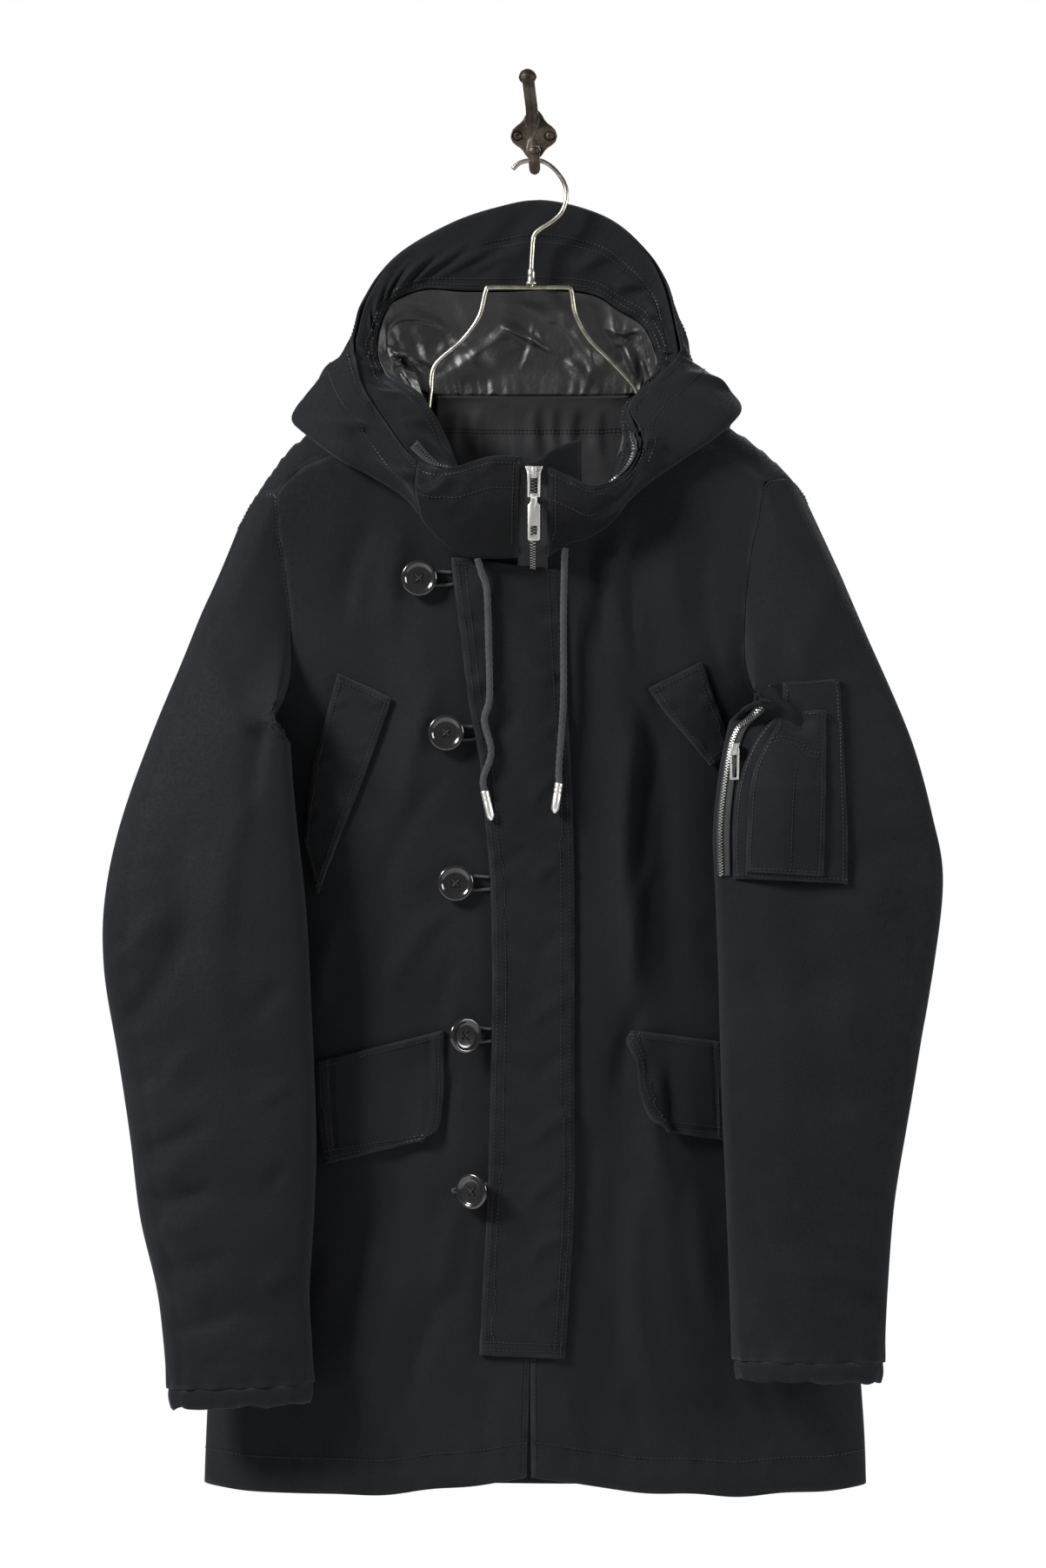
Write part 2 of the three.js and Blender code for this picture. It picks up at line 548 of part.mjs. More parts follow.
// The hood and collar are one band of cloth round the neck. Each row is a section of it, from the zip on the
// wearer's right, round the back, to the zip on the left: the rim of the face opening, the fold where the
// cloth turns under, the neck seam, and how wide the facing inside the rim is.
const hoodRows = [
  { rim: [-10, -104, -260], fold: [-12, -90, -334], neck: [-12, -79, -322] },
  { rim: [-34, -106, -260], fold: [-33, -91, -335], neck: [-34, -79, -312] },
  { rim: [-58, -105, -267], fold: [-54, -90, -333], neck: [-52, -79, -298] },
  { rim: [-80, -98, -268], fold: [-76, -88, -316], neck: [-66, -79, -280] },
  { rim: [-98, -90, -255], fold: [-97, -86, -290], neck: [-78, -78, -262] },
  { rim: [-116, -78, -230], fold: [-124, -84, -272], neck: [-87, -79, -252] },
  { rim: [-132, -66, -205], fold: [-150, -81, -258], neck: [-95, -78, -234.2] },
  { rim: [-138, -54, -182], fold: [-180, -54, -233], neck: [-101, -52, -202] },
  { rim: [-140, -49, -171], fold: [-178, -36, -231], neck: [-101, -38, -200] },
  { rim: [-139, -44, -158], fold: [-165, -14, -250], neck: [-98, -24, -202] },
  { rim: [-131, -36, -130], fold: [-136, -9, -288], neck: [-86, -24, -205] },
  { rim: [-108, -30, -98], fold: [-98, -8, -316], neck: [-68, -24, -205] },
  { rim: [-68, -26, -73], fold: [-56, -7, -332], neck: [-44, -24, -205] },
  { rim: [-30, -23, -59], fold: [-20, -7, -338], neck: [-16, -24, -205] },
  { rim: [8, -22, -53], fold: [16, -7, -338], neck: [14, -24, -205] },
  { rim: [53, -25, -65], fold: [54, -7, -332], neck: [42, -24, -205] },
  { rim: [82, -29, -87], fold: [90, -8, -316], neck: [66, -24, -205] },
  { rim: [102, -35, -118], fold: [122, -9, -288], neck: [84, -24, -205] },
  { rim: [113, -46, -166], fold: [142, -14, -248], neck: [98, -24, -202] },
  { rim: [112, -50, -176], fold: [152, -36, -222], neck: [101, -38, -200] },
  { rim: [107, -54, -184], fold: [154, -54, -225], neck: [101, -52, -202] },
  { rim: [91, -66, -200], fold: [139, -80, -241], neck: [96, -77, -226] },
  { rim: [74, -78, -218], fold: [110, -84, -261], neck: [88, -79, -244] },
  { rim: [81, -89, -238], fold: [90, -85, -275], neck: [80, -78, -258] },
  { rim: [84, -95, -253], fold: [73, -87, -290], neck: [70, -79, -272] },
  { rim: [72, -101, -272], fold: [58, -89, -308], neck: [58, -79, -290] },
  { rim: [46, -106, -282], fold: [41, -90, -319], neck: [44, -79, -302] },
  { rim: [27, -106, -275], fold: [25, -90, -324], neck: [28, -79, -312] },
  { rim: [11, -104, -268], fold: [10, -90, -334], neck: [12, -79, -320] },
].map(({ rim, fold, neck }) => ({
  rimX: rim[0],
  rimY: rim[1],
  rimZ: rim[2],
  foldX: fold[0],
  foldY: fold[1],
  foldZ: fold[2],
  neckX: neck[0],
  neckY: neck[1],
  neckZ: neck[2],
}));
const HOOD_COLLAR_RIGHT = 3.5;    // sections where the hood meets the collar's fronts
const HOOD_COLLAR_LEFT = 24.5;
const HOOD_CENTRE = 13.8;
const FOLD_HALF = 4;              // half the width of the turn at the fold
const FOLD_RISE = 7;
const HOOD_PUFF = 6;              // how far the outer cloth stands out between fold and rim
const HOOD_BACK_Y = -3;           // it stays this far off the wall

// A section's path from the neck seam, under, round the fold and up the outside to the rim.
function hoodPath(place) {
  const row = rowAt(hoodRows, place);
  const neck = new THREE.Vector3(row.neckX, row.neckY, row.neckZ);
  const fold = new THREE.Vector3(row.foldX, row.foldY, row.foldZ);
  const rim = new THREE.Vector3(row.rimX, row.rimY, row.rimZ);
  const out = new THREE.Vector3(row.foldX * 0.25, row.foldY - BODY_MIDDLE_Y, 0).normalize();
  const under = fold.clone().addScaledVector(out, -FOLD_HALF).add(new THREE.Vector3(0, 0, FOLD_RISE));
  const over = fold.clone().addScaledVector(out, FOLD_HALF).add(new THREE.Vector3(0, 0, FOLD_RISE));
  const puffed = over.clone().lerp(rim, 0.5).addScaledVector(out, HOOD_PUFF);
  puffed.y = Math.min(puffed.y, HOOD_BACK_Y);
  return [neck, under, fold, over, puffed, rim].map(({ x, y, z }) => ({ x, y, z }));
}
const RIM_STEP = 5;
const HOOD_STEPS = [0, 0.6, 1, 1.5, 2, 2.5, 3, 3.5, 4, 4.5, RIM_STEP];

function hoodGrid(places) {
  return HOOD_STEPS.map((step) => places.map((place) => {
    const { x, y, z } = rowAt(hoodPath(place), step);
    return new THREE.Vector3(x, y, z);
  }));
}

// Places from one section to another, every whole one between them too.
function placesBetween(from, to, gap = 0.012) {
  const places = [from + gap];
  for (let place = Math.floor(from) + 1; place < to; place += 1) {
    if (place - from > 0.2 && to - place > 0.2) {
      places.push(place);
    }
  }
  places.push(to - gap);
  return places;
}

function hoodPiece(from, to) {
  const grid = hoodGrid(placesBetween(from, to));
  const normals = gridNormals(grid, false);
  return wall(grid, normals.map((line) => line.map((normal) => normal.clone().negate())), CLOTH_WALL);
}

addPiece('collar_right', hoodPiece(0, HOOD_COLLAR_RIGHT), twill);
addPiece('hood_right', hoodPiece(HOOD_COLLAR_RIGHT, HOOD_CENTRE), twill);
addPiece('hood_left', hoodPiece(HOOD_CENTRE, HOOD_COLLAR_LEFT), twill);
addPiece('collar_left', hoodPiece(HOOD_COLLAR_LEFT, hoodRows.length - 1), twill);

// Cloth sewn flat on a panel: a grid of the panel's points, moved out by a lift and its own thickness. Each
// row of its table runs from its left edge to its right edge as seen from the front, and the rows go down.
function patchGrid(surface, rows, columns, lift, thickness) {
  const flat = rows.map((row) => Array.from({ length: columns }, (unused, column) => {
    const part = column / (columns - 1);
    return surface(mix(row.leftX, row.rightX, part), mix(row.leftZ, row.rightZ, part));
  }));
  const normals = gridNormals(flat, false);
  const grid = flat.map((line, row) => line.map((point, column) => {
    const raised = typeof lift === 'function'
      ? lift(column / (columns - 1), row / (rows.length - 1)) : lift;
    return point.addScaledVector(normals[row][column], raised + thickness);
  }));
  return { grid, normals };
}

function patch(surface, rows, columns, lift, thickness) {
  const { grid, normals } = patchGrid(surface, rows, columns, lift, thickness);
  return wall(grid, normals, thickness);
}

function finer(rows, count) {
  const last = rows.length - 1;
  return Array.from({ length: count }, (unused, index) => rowAt(rows, (index * last) / (count - 1)));
}

// The front of a grid at a place seen from the front, on the flat faces between its points.
function frontOf(grid, closed) {
  const columns = grid[0].length;
  const faces = [];
  for (let row = 0; row < grid.length - 1; row += 1) {
    for (let column = 0; column < (closed ? columns : columns - 1); column += 1) {
      const next = (column + 1) % columns;
      const [a, b] = [grid[row][column], grid[row][next]];
      const [c, d] = [grid[row + 1][next], grid[row + 1][column]];
      faces.push([a, b, c], [a, c, d]);
    }
  }
  return (x, z) => {
    let y = Infinity;
    for (const [a, b, c] of faces) {
      const area = (b.x - a.x) * (c.z - a.z) - (c.x - a.x) * (b.z - a.z);
      const shareB = ((x - a.x) * (c.z - a.z) - (c.x - a.x) * (z - a.z)) / area;
      const shareC = ((b.x - a.x) * (z - a.z) - (x - a.x) * (b.z - a.z)) / area;
      if (shareB >= 0 && shareC >= 0 && shareB + shareC <= 1) {
        y = Math.min(y, a.y + (b.y - a.y) * shareB + (c.y - a.y) * shareC);
      }
    }
    return new THREE.Vector3(x, y, z);
  };
}

// The outer faces of the two fronts and of the back, as they are built
const rightFace = frontOf(rightFront.points, false);
const leftFace = frontOf(leftFront.points, false);
function onFront(x, z) {
  const y = Math.min(rightFace(x, z).y, leftFace(x, z).y);
  return Number.isFinite(y) ? new THREE.Vector3(x, y, z) : frontPoint(x, z);
}
const onBack = frontOf(back.points, false);

// The facing is sewn inside the rim. The lining goes on from its inner edge down to the neck.
const facingRows = [
  { place: 0.4, edgeX: -20, edgeY: -99, edgeZ: -286, baseX: -20, baseY: -96, baseZ: -300 },
  { place: 2, edgeX: -50, edgeY: -95, edgeZ: -284, baseX: -48, baseY: -92, baseZ: -296 },
  { place: 3.5, edgeX: -66, edgeY: -76, edgeZ: -247, baseX: -62, baseY: -72, baseZ: -262 },
  { place: 4.2, edgeX: -79, edgeY: -73, edgeZ: -222, baseX: -68, baseY: -70, baseZ: -248 },
  { place: 5, edgeX: -92, edgeY: -66, edgeZ: -205, baseX: -80, baseY: -66, baseZ: -232 },
  { place: 6, edgeX: -113, edgeY: -51, edgeZ: -195, baseX: -86, baseY: -59, baseZ: -210 },
  { place: 7, edgeX: -120, edgeY: -45, edgeZ: -185, baseX: -92, baseY: -48, baseZ: -192 },
  { place: 8, edgeX: -123, edgeY: -40, edgeZ: -174, baseX: -97, baseY: -38, baseZ: -194 },
  { place: 9, edgeX: -122, edgeY: -36, edgeZ: -156, baseX: -94, baseY: -30, baseZ: -198 },
  { place: 10, edgeX: -112, edgeY: -33, edgeZ: -134, baseX: -83, baseY: -28, baseZ: -204 },
  { place: 11, edgeX: -86, edgeY: -31, edgeZ: -123, baseX: -66, baseY: -27.6, baseZ: -206 },
  { place: 12, edgeX: -55, edgeY: -30, edgeZ: -124, baseX: -42, baseY: -27.6, baseZ: -206 },
  { place: 13, edgeX: -22, edgeY: -29, edgeZ: -124, baseX: -16, baseY: -27.6, baseZ: -206 },
  { place: 14, edgeX: 10, edgeY: -29, edgeZ: -123, baseX: 12, baseY: -27.6, baseZ: -206 },
  { place: 15, edgeX: 46, edgeY: -30, edgeZ: -127, baseX: 40, baseY: -27.6, baseZ: -206 },
  { place: 16, edgeX: 68, edgeY: -31, edgeZ: -140, baseX: 63, baseY: -27.6, baseZ: -206 },
  { place: 17, edgeX: 86, edgeY: -34, edgeZ: -152, baseX: 80, baseY: -28, baseZ: -204 },
  { place: 18, edgeX: 95, edgeY: -38, edgeZ: -172, baseX: 92, baseY: -30, baseZ: -198 },
  { place: 19, edgeX: 96, edgeY: -42, edgeZ: -184, baseX: 97, baseY: -38, baseZ: -196 },
  { place: 20, edgeX: 92, edgeY: -50, edgeZ: -194, baseX: 97, baseY: -50, baseZ: -200 },
  { place: 21, edgeX: 80, edgeY: -58, edgeZ: -208, baseX: 91, baseY: -64, baseZ: -221 },
  { place: 22, edgeX: 68, edgeY: -66, edgeZ: -226, baseX: 77, baseY: -66, baseZ: -236 },
  { place: 23, edgeX: 70, edgeY: -76, edgeZ: -246, baseX: 67, baseY: -70, baseZ: -251 },
  { place: 24.5, edgeX: 62, edgeY: -86, edgeZ: -272, baseX: 60, baseY: -84, baseZ: -280 },
  { place: 26, edgeX: 44, edgeY: -97, edgeZ: -302, baseX: 44, baseY: -92, baseZ: -306 },
  { place: 27.6, edgeX: 17, edgeY: -99, edgeZ: -294, baseX: 17, baseY: -94, baseZ: -306 },
];
const FACING_WALL = 1.6;
const FACING_PARTS = [0, 0.12, 0.35, 0.65, 1];
const LINING_PARTS = [0, 0.12, 0.3, 0.5, 0.7, 0.88, 1];
const LINING_SLACK = 5;           // how far the lining sags between facing and neck

const NECK_MIDDLE = new THREE.Vector3(-10, -60, -190);
const SECTION_HAIR = 0.05;

// The hidden side of the facing, a share of its width in from the rim.
function facingPoint(place, part) {
  const section = rowAt(hoodPath(place), RIM_STEP);
  const beside = rowAt(hoodPath(place + SECTION_HAIR), RIM_STEP);
  const below = rowAt(hoodPath(place), RIM_STEP - SECTION_HAIR);
  const rim = new THREE.Vector3(section.x, section.y, section.z);
  const along = new THREE.Vector3(beside.x, beside.y, beside.z).sub(rim);
  const up = rim.clone().sub(new THREE.Vector3(below.x, below.y, below.z));
  const out = up.clone().cross(along).normalize();
  const row = rowWhere(facingRows, 'place', place);
  const edge = new THREE.Vector3(row.edgeX, row.edgeY, row.edgeZ);
  const start = rim.clone().addScaledVector(out, -2 * LAY_GAP - SEAM_GAP)
    .addScaledVector(up.normalize(), -2 * SEAM_GAP);
  const half = start.clone().lerp(edge, 0.5).addScaledVector(up, -1);
  return start.clone().multiplyScalar((1 - part) ** 2)
    .addScaledVector(half, 2 * part * (1 - part))
    .addScaledVector(edge, part ** 2);
}

function liningPoint(place, part) {
  const row = rowWhere(facingRows, 'place', place);
  const edge = new THREE.Vector3(row.edgeX, row.edgeY, row.edgeZ);
  const base = new THREE.Vector3(row.baseX, row.baseY, row.baseZ);
  const gap = (6 * SEAM_GAP) / edge.distanceTo(base);
  const point = edge.clone().lerp(base, mix(gap, 1, part));
  point.y += Math.sin(Math.PI * part) * LINING_SLACK * Math.min(edge.distanceTo(base) / 80, 1);
  return point;
}

// A strip of cloth inside the hood, between two places round it. Its grid is its hidden side.
function innerStrip(point, parts, places, thickness) {
  const grid = parts.map((part) => places.map((place) => point(place, part)));
  const normals = gridNormals(grid, false);
  const centre = grid[0][Math.floor(places.length / 2)];
  const normal = normals[0][Math.floor(places.length / 2)];
  const inwards = normal.dot(centre.clone().sub(NECK_MIDDLE)) < 0;
  return wall(grid, normals.map((line) => line.map((each) => (inwards ? each.negate() : each))), thickness);
}

addPiece('hood_facing', innerStrip(facingPoint, FACING_PARTS, placesBetween(0.4, 27.6), FACING_WALL), twill);
addPiece('hood_lining', innerStrip(liningPoint, LINING_PARTS, placesBetween(4.6, 23.4), LINING_WALL), satin);

// Zip tapes inside the upper edges of the collar, for the hood's own zip
const TAPE_WALL = 1.2;
function upperTape(places) {
  return innerStrip((place, part) => {
    const across = mix(FACING_PARTS[1], FACING_PARTS[2], part);
    const point = facingPoint(place, across);
    const beside = facingPoint(place + SECTION_HAIR, across);
    const below = facingPoint(place, across + SECTION_HAIR);
    const inward = beside.sub(point).cross(below.sub(point)).normalize();
    const toMiddle = NECK_MIDDLE.clone().sub(point);
    return point.addScaledVector(inward.dot(toMiddle) < 0 ? inward.negate() : inward, FACING_WALL + LAY_GAP);
  }, [0, 1], places, TAPE_WALL);
}
addPiece('upper_zip_right', upperTape([2, 3, 4]), braid);
addPiece('upper_zip_left', upperTape([23, 24, 25, 26]), braid);

// The satin inside the back of the neck, below the gathered lining
const neckRows = [
  { leftX: -76, leftZ: -211.5, rightX: 74, rightZ: -211.5 },
  { leftX: -77, leftZ: -228, rightX: 76, rightZ: -228 },
  { leftX: -77, leftZ: -245, rightX: 77, rightZ: -245 },
  { leftX: -74, leftZ: -262, rightX: 74, rightZ: -262 },
];
addPiece('neck_lining', patch(onBack, neckRows, 11, CLOTH_WALL + LAY_GAP, LINING_WALL), satin);

// The wind flap stands behind the zip, from the wearer's left.
const windRows = [
  { x: -4, topY: -101, topZ: -265, footY: -98.6, footZ: -308 },
  { x: 7, topY: -100.8, topZ: -259, footY: -98, footZ: -307 },
  { x: 20, topY: -94, topZ: -251, footY: -94, footZ: -303 },
  { x: 30, topY: -90, topZ: -247, footY: -91, footZ: -298 },
  { x: 36, topY: -88, topZ: -245, footY: -90, footZ: -294 },
];
const windGrid = [0, 0.3, 0.65, 1].map((part) => windRows.map((row) => (
  new THREE.Vector3(row.x, mix(row.topY, row.footY, part), mix(row.topZ, row.footZ, part)))));
addPiece('wind_flap', wall(windGrid, gridNormals(windGrid, false), CLOTH_WALL), twill);

// The front zip between the collar's edges, its tape set back from their faces
const ZIP_STEPS = [3.3, 3.7, 4.1, 4.5, 4.85];
const ZIP_BACK = 1.1;
const ZIP_UNDER = 2;              // how far the tape runs under each edge
const zipGrid = ZIP_STEPS.map((step) => {
  const from = rowAt(hoodPath(0.012), step);
  const to = rowAt(hoodPath(hoodRows.length - 1.012), step);
  return [0, 0.25, 0.5, 0.75, 1].map((part) => new THREE.Vector3(
    mix(from.x - ZIP_UNDER, to.x + ZIP_UNDER, part), (from.y + to.y) / 2 + ZIP_BACK,
    mix(from.z, to.z, part)));
});
const zipNormals = gridNormals(zipGrid, false).map((line) => line.map((each) => (
  each.y > 0 ? each.negate() : each)));
addPiece('front_zip_tape', wall(zipGrid, zipNormals, TAPE_WALL), braid);

// The placket over the fronts, from just under the collar
const placketRows = [
  { leftX: -63.8, leftZ: -336, rightX: 19.9, rightZ: -346 },
  { leftX: -55.8, leftZ: -397, rightX: 23, rightZ: -400 },
  { leftX: -49.7, leftZ: -448, rightX: 25, rightZ: -448 },
  { leftX: -41, leftZ: -495, rightX: 27.6, rightZ: -495 },
  { leftX: -36.3, leftZ: -547, rightX: 29.6, rightZ: -547 },
  { leftX: -33, leftZ: -588, rightX: 30.4, rightZ: -588 },
  { leftX: -31.7, leftZ: -669, rightX: 30.6, rightZ: -669 },
  { leftX: -33, leftZ: -744, rightX: 30.4, rightZ: -744 },
  { leftX: -35, leftZ: -821, rightX: 29.9, rightZ: -821 },
  { leftX: -37.7, leftZ: -878, rightX: 27.8, rightZ: -878 },
  { leftX: -41.7, leftZ: -950, rightX: 23.2, rightZ: -952 },
];
addPiece('placket', patch(onFront, finer(placketRows, 16), 6, LAY_GAP, DOUBLE_WALL), twill);

// Round bars and cords along a line through points
function tube(points, diameter, steps, sides = 8) {
  const section = new THREE.Shape(Array.from({ length: sides }, (unused, index) => {
    const turn = (2 * Math.PI * index) / sides;
    return new THREE.Vector2(Math.cos(turn), Math.sin(turn)).multiplyScalar(diameter / 2);
  }));
  const line = new THREE.CatmullRomCurve3(points.map((point) => new THREE.Vector3(...point)));
  return new THREE.ExtrudeGeometry(section, { steps, bevelEnabled: false, extrudePath: line });
}

// The same surface with its doubled points made one
function welded(geometry) {
  const bare = new THREE.BufferGeometry();
  bare.setAttribute('position', geometry.getAttribute('position'));
  bare.setIndex(geometry.index);
  const merged = mergeVertices(bare, 1e-4);
  const corners = Array.from(merged.index.array);
  const faces = [];
  for (let face = 0; face < corners.length; face += 3) {
    const [a, b, c] = corners.slice(face, face + 3);
    if (a !== b && b !== c && a !== c) {
      faces.push(a, b, c);
    }
  }
  return facingOut(Array.from(merged.getAttribute('position').array), faces);
}

function toSolid(geometry) {
  const whole = welded(geometry);
  return new wasm.Manifold(new wasm.Mesh({
    numProp: 3,
    vertProperties: new Float32Array(whole.getAttribute('position').array),
    triVerts: new Uint32Array(whole.index.array),
  }));
}

function fromSolid(solid) {
  const mesh = solid.getMesh();
  const geometry = new THREE.BufferGeometry();
  geometry.setAttribute('position', new THREE.Float32BufferAttribute(mesh.vertProperties, 3));
  geometry.setIndex(Array.from(mesh.triVerts));
  return geometry;
}

// A turned shape from its profile of radius and height, standing on a point along a direction
function turned(profile, segments, foot, direction) {
  const geometry = welded(new THREE.LatheGeometry(profile.map(([radius, height]) => (
    new THREE.Vector2(radius, height))), segments));
  const turn = new THREE.Quaternion().setFromUnitVectors(
    new THREE.Vector3(0, 1, 0), direction.clone().normalize());
  return geometry.applyMatrix4(new THREE.Matrix4().compose(foot, turn, new THREE.Vector3(1, 1, 1)));
}

// Buttons: lift is how far the button's back is from the cloth, turn how it is turned on its thread, and
// loop how far the cord loop reaches past the button's middle.
const buttonRows = [
  { x: -88.6, z: -351.4, lift: 4.2, turn: 0, loop: 6 },
  { x: -67.8, z: -470.6, lift: 4.2, turn: 0, loop: 6 },
  { x: -60.4, z: -586.4, lift: 4.2, turn: 0, loop: 6 },
  { x: -53.7, z: -703.5, lift: 10, turn: 32, loop: 6 },
  { x: -47, z: -823.3, lift: 10, turn: -32, loop: 16 },
];
const BUTTON_RADIUS = BUTTON / 2;
const BUTTON_PROFILE = [
  [0, 0], [BUTTON_RADIUS - 3, 0], [BUTTON_RADIUS, 1.6], [BUTTON_RADIUS - 0.8, 3.6], [BUTTON_RADIUS - 2.4, 4],
  [BUTTON_RADIUS - 4.4, 2.8], [0, 2.4],
];
const HOLE_OUT = 2.5;
const THREAD = 3;
const LOOP_CORD = 2.2;
const LOOP_LIFT = 1.5;
const LOOP_HALF = 4.6;

function button({ x, z, lift, turn }) {
  const cloth = onFront(x, z);
  const facing = new THREE.Vector3(0, -1, 0)
    .applyAxisAngle(new THREE.Vector3(0, 0, 1), (turn * Math.PI) / 180);
  const seat = cloth.clone().add(new THREE.Vector3(0, -lift, 0));
  let solid = toSolid(turned(BUTTON_PROFILE, 18, seat, facing));
  for (const [holeX, holeZ] of [[-1, -1], [1, -1], [1, 1], [-1, 1]]) {
    const across = new THREE.Vector3(0, 0, 1).cross(facing).multiplyScalar(holeX * HOLE_OUT);
    const place = seat.clone().add(across).add(new THREE.Vector3(0, 0, holeZ * HOLE_OUT));
    const bore = turned([[0, 1.2], [1.1, 1.2], [1.1, 8], [0, 8]], 6, place, facing);
    solid = solid.subtract(toSolid(bore));
  }
  const shank = turned([[0, 0], [THREAD / 2, 0], [THREAD / 2, lift - 0.4 + 1], [0, lift - 0.4 + 1]], 6,
    cloth.clone().add(new THREE.Vector3(0, -0.4, 0)), new THREE.Vector3(0, -1, 0));
  return fromSolid(solid.add(toSolid(shank)));
}

function buttonLoop({ x, z, loop }) {
  const edge = (atZ) => rowWhere(placketRows, 'leftZ', atZ).leftX - 0.8;
  const on = (atX, atZ) => {
    const point = onFront(atX, atZ);
    return [point.x, point.y - LOOP_LIFT, point.z];
  };
  const top = z + LOOP_HALF;
  const foot = z - LOOP_HALF;
  return tube([on(edge(top), top), on((edge(top) + x) / 2, top + 0.8), on(x, top), on(x - loop, z),
    on(x, foot), on((edge(foot) + x) / 2, foot - 0.8), on(edge(foot), foot)], LOOP_CORD, 10);
}

for (const [index, row] of buttonRows.entries()) {
  addPiece(`button_${index + 1}`, button(row), horn);
  addPiece(`button_loop_${index + 1}`, buttonLoop(row), braid);
}

// Drawcords hang from under the collar, each with a metal tip.
const cordRight = [
  [-43.5, -91, -337], [-40.5, -89, -347], [-36.3, -87, -362], [-35, -87, -403], [-34.3, -87, -443],
  [-38.3, -87, -461], [-33, -87, -485], [-39, -87, -505], [-38.3, -87, -514.7],
];
const cordLeft = [
  [23.8, -91, -329.4], [23.2, -89, -344], [22.5, -87, -383], [22.5, -87, -445], [19.2, -87, -495],
  [19.2, -87, -508.7],
];
const TIP_PROFILE = [[0, 0], [2.6, 0], [3.2, 0.8], [3.2, 20], [2.4, 22.6], [0, 23]];
function cordTip(points, towards) {
  const end = new THREE.Vector3(...points[points.length - 1]);
  const direction = new THREE.Vector3(...towards).sub(end).normalize();
  return turned(TIP_PROFILE, 10, end.clone().addScaledVector(direction, SEAM_GAP + 0.1), direction);
}
addPiece('drawcord_right', tube(cordRight, CORD, 22), braid);
addPiece('drawcord_left', tube(cordLeft, CORD, 18), braid);
addPiece('cord_tip_right', cordTip(cordRight, [-33, -87, -537.5]), nickel);
addPiece('cord_tip_left', cordTip(cordLeft, [15.8, -87, -531.5]), nickel);

// Pockets on the body
const chestWelts = {
  right: [
    { leftX: -151.1, leftZ: -425.6, rightX: -110.2, rightZ: -444.3 },
    { leftX: -159, leftZ: -456, rightX: -122, rightZ: -478 },
    { leftX: -168, leftZ: -490, rightX: -136, rightZ: -516 },
    { leftX: -173, leftZ: -518, rightX: -150, rightZ: -551 },
    { leftX: -176, leftZ: -556, rightX: -166, rightZ: -594 },
  ],
  left: [
    { leftX: 88.4, leftZ: -436.3, rightX: 128.6, rightZ: -416.2 },
    { leftX: 103, leftZ: -456, rightX: 137, rightZ: -440 },
    { leftX: 120, leftZ: -476, rightX: 145, rightZ: -462 },
    { leftX: 136, leftZ: -496, rightX: 150, rightZ: -484 },
  ],
};
addPiece('chest_welt_right', patch(onFront, finer(chestWelts.right, 9), 4, LAY_GAP, DOUBLE_WALL), twill);
addPiece('chest_welt_left', patch(onFront, finer(chestWelts.left, 7), 4, LAY_GAP, DOUBLE_WALL), twill);

const lowerFlaps = {
  right: [
    { leftX: -168, leftZ: -725, rightX: -69.3, rightZ: -700.6 },
    { leftX: -167, leftZ: -745, rightX: -70, rightZ: -725 },
    { leftX: -165, leftZ: -770, rightX: -71.3, rightZ: -757 },
    { leftX: -162, leftZ: -791, rightX: -75, rightZ: -776 },
    { leftX: -159.3, leftZ: -802.2, rightX: -86, rightZ: -785 },
  ],
  left: [
    { leftX: 74, leftZ: -700, rightX: 145, rightZ: -710 },
    { leftX: 80, leftZ: -722, rightX: 146, rightZ: -732 },
    { leftX: 86, leftZ: -744, rightX: 146, rightZ: -754 },
    { leftX: 91, leftZ: -764, rightX: 146, rightZ: -771 },
    { leftX: 98, leftZ: -777, rightX: 145, rightZ: -784 },
  ],
};
const FLAP_HANG = 2.5;            // a flap stands off the cloth towards its foot
const FLAP_CURL = 8;              // the left flap's free edge turns out
addPiece('lower_flap_right', patch(onFront, finer(lowerFlaps.right, 8), 8,
  (across, down) => LAY_GAP + FLAP_HANG * down * down, DOUBLE_WALL), twill);
addPiece('lower_flap_left', patch(onFront, finer(lowerFlaps.left, 8), 9,
  (across, down) => LAY_GAP + FLAP_HANG * down * down
    + FLAP_CURL * Math.exp(-across * 7) * Math.min(down * 4 + 0.3, 1), DOUBLE_WALL), twill);

// The pocket on the left sleeve, closed with a zip along the side nearest the body
const sleevePocketRows = [
  { leftX: 190, leftZ: -434, rightX: 233, rightZ: -431 },
  { leftX: 188, leftZ: -452, rightX: 234, rightZ: -455 },
  { leftX: 172, leftZ: -474, rightX: 235, rightZ: -476 },
  { leftX: 158, leftZ: -502, rightX: 236, rightZ: -502 },
  { leftX: 153, leftZ: -540, rightX: 238, rightZ: -545 },
  { leftX: 153, leftZ: -582, rightX: 238, rightZ: -586 },
];
const penPanelRows = [
  { leftX: 193, leftZ: -452, rightX: 222, rightZ: -455 },
  { leftX: 168, leftZ: -500, rightX: 221, rightZ: -502 },
  { leftX: 163, leftZ: -545, rightX: 220, rightZ: -547 },
  { leftX: 162, leftZ: -577, rightX: 219, rightZ: -580 },
];
const sleeveZipRows = [
  { leftX: 172, leftZ: -438, rightX: 181, rightZ: -434 },
  { leftX: 167, leftZ: -452, rightX: 176, rightZ: -451 },
  { leftX: 155, leftZ: -466, rightX: 164, rightZ: -465 },
  { leftX: 149, leftZ: -480, rightX: 158, rightZ: -479 },
  { leftX: 145, leftZ: -502, rightX: 154, rightZ: -502 },
  { leftX: 140.5, leftZ: -540, rightX: 150, rightZ: -540 },
  { leftX: 141, leftZ: -580, rightX: 150, rightZ: -580 },
];
const POCKET_PUFF = 4;
const PANEL_WALL = 1.4;
const onSleeve = frontOf(leftSleeve.grid, true);
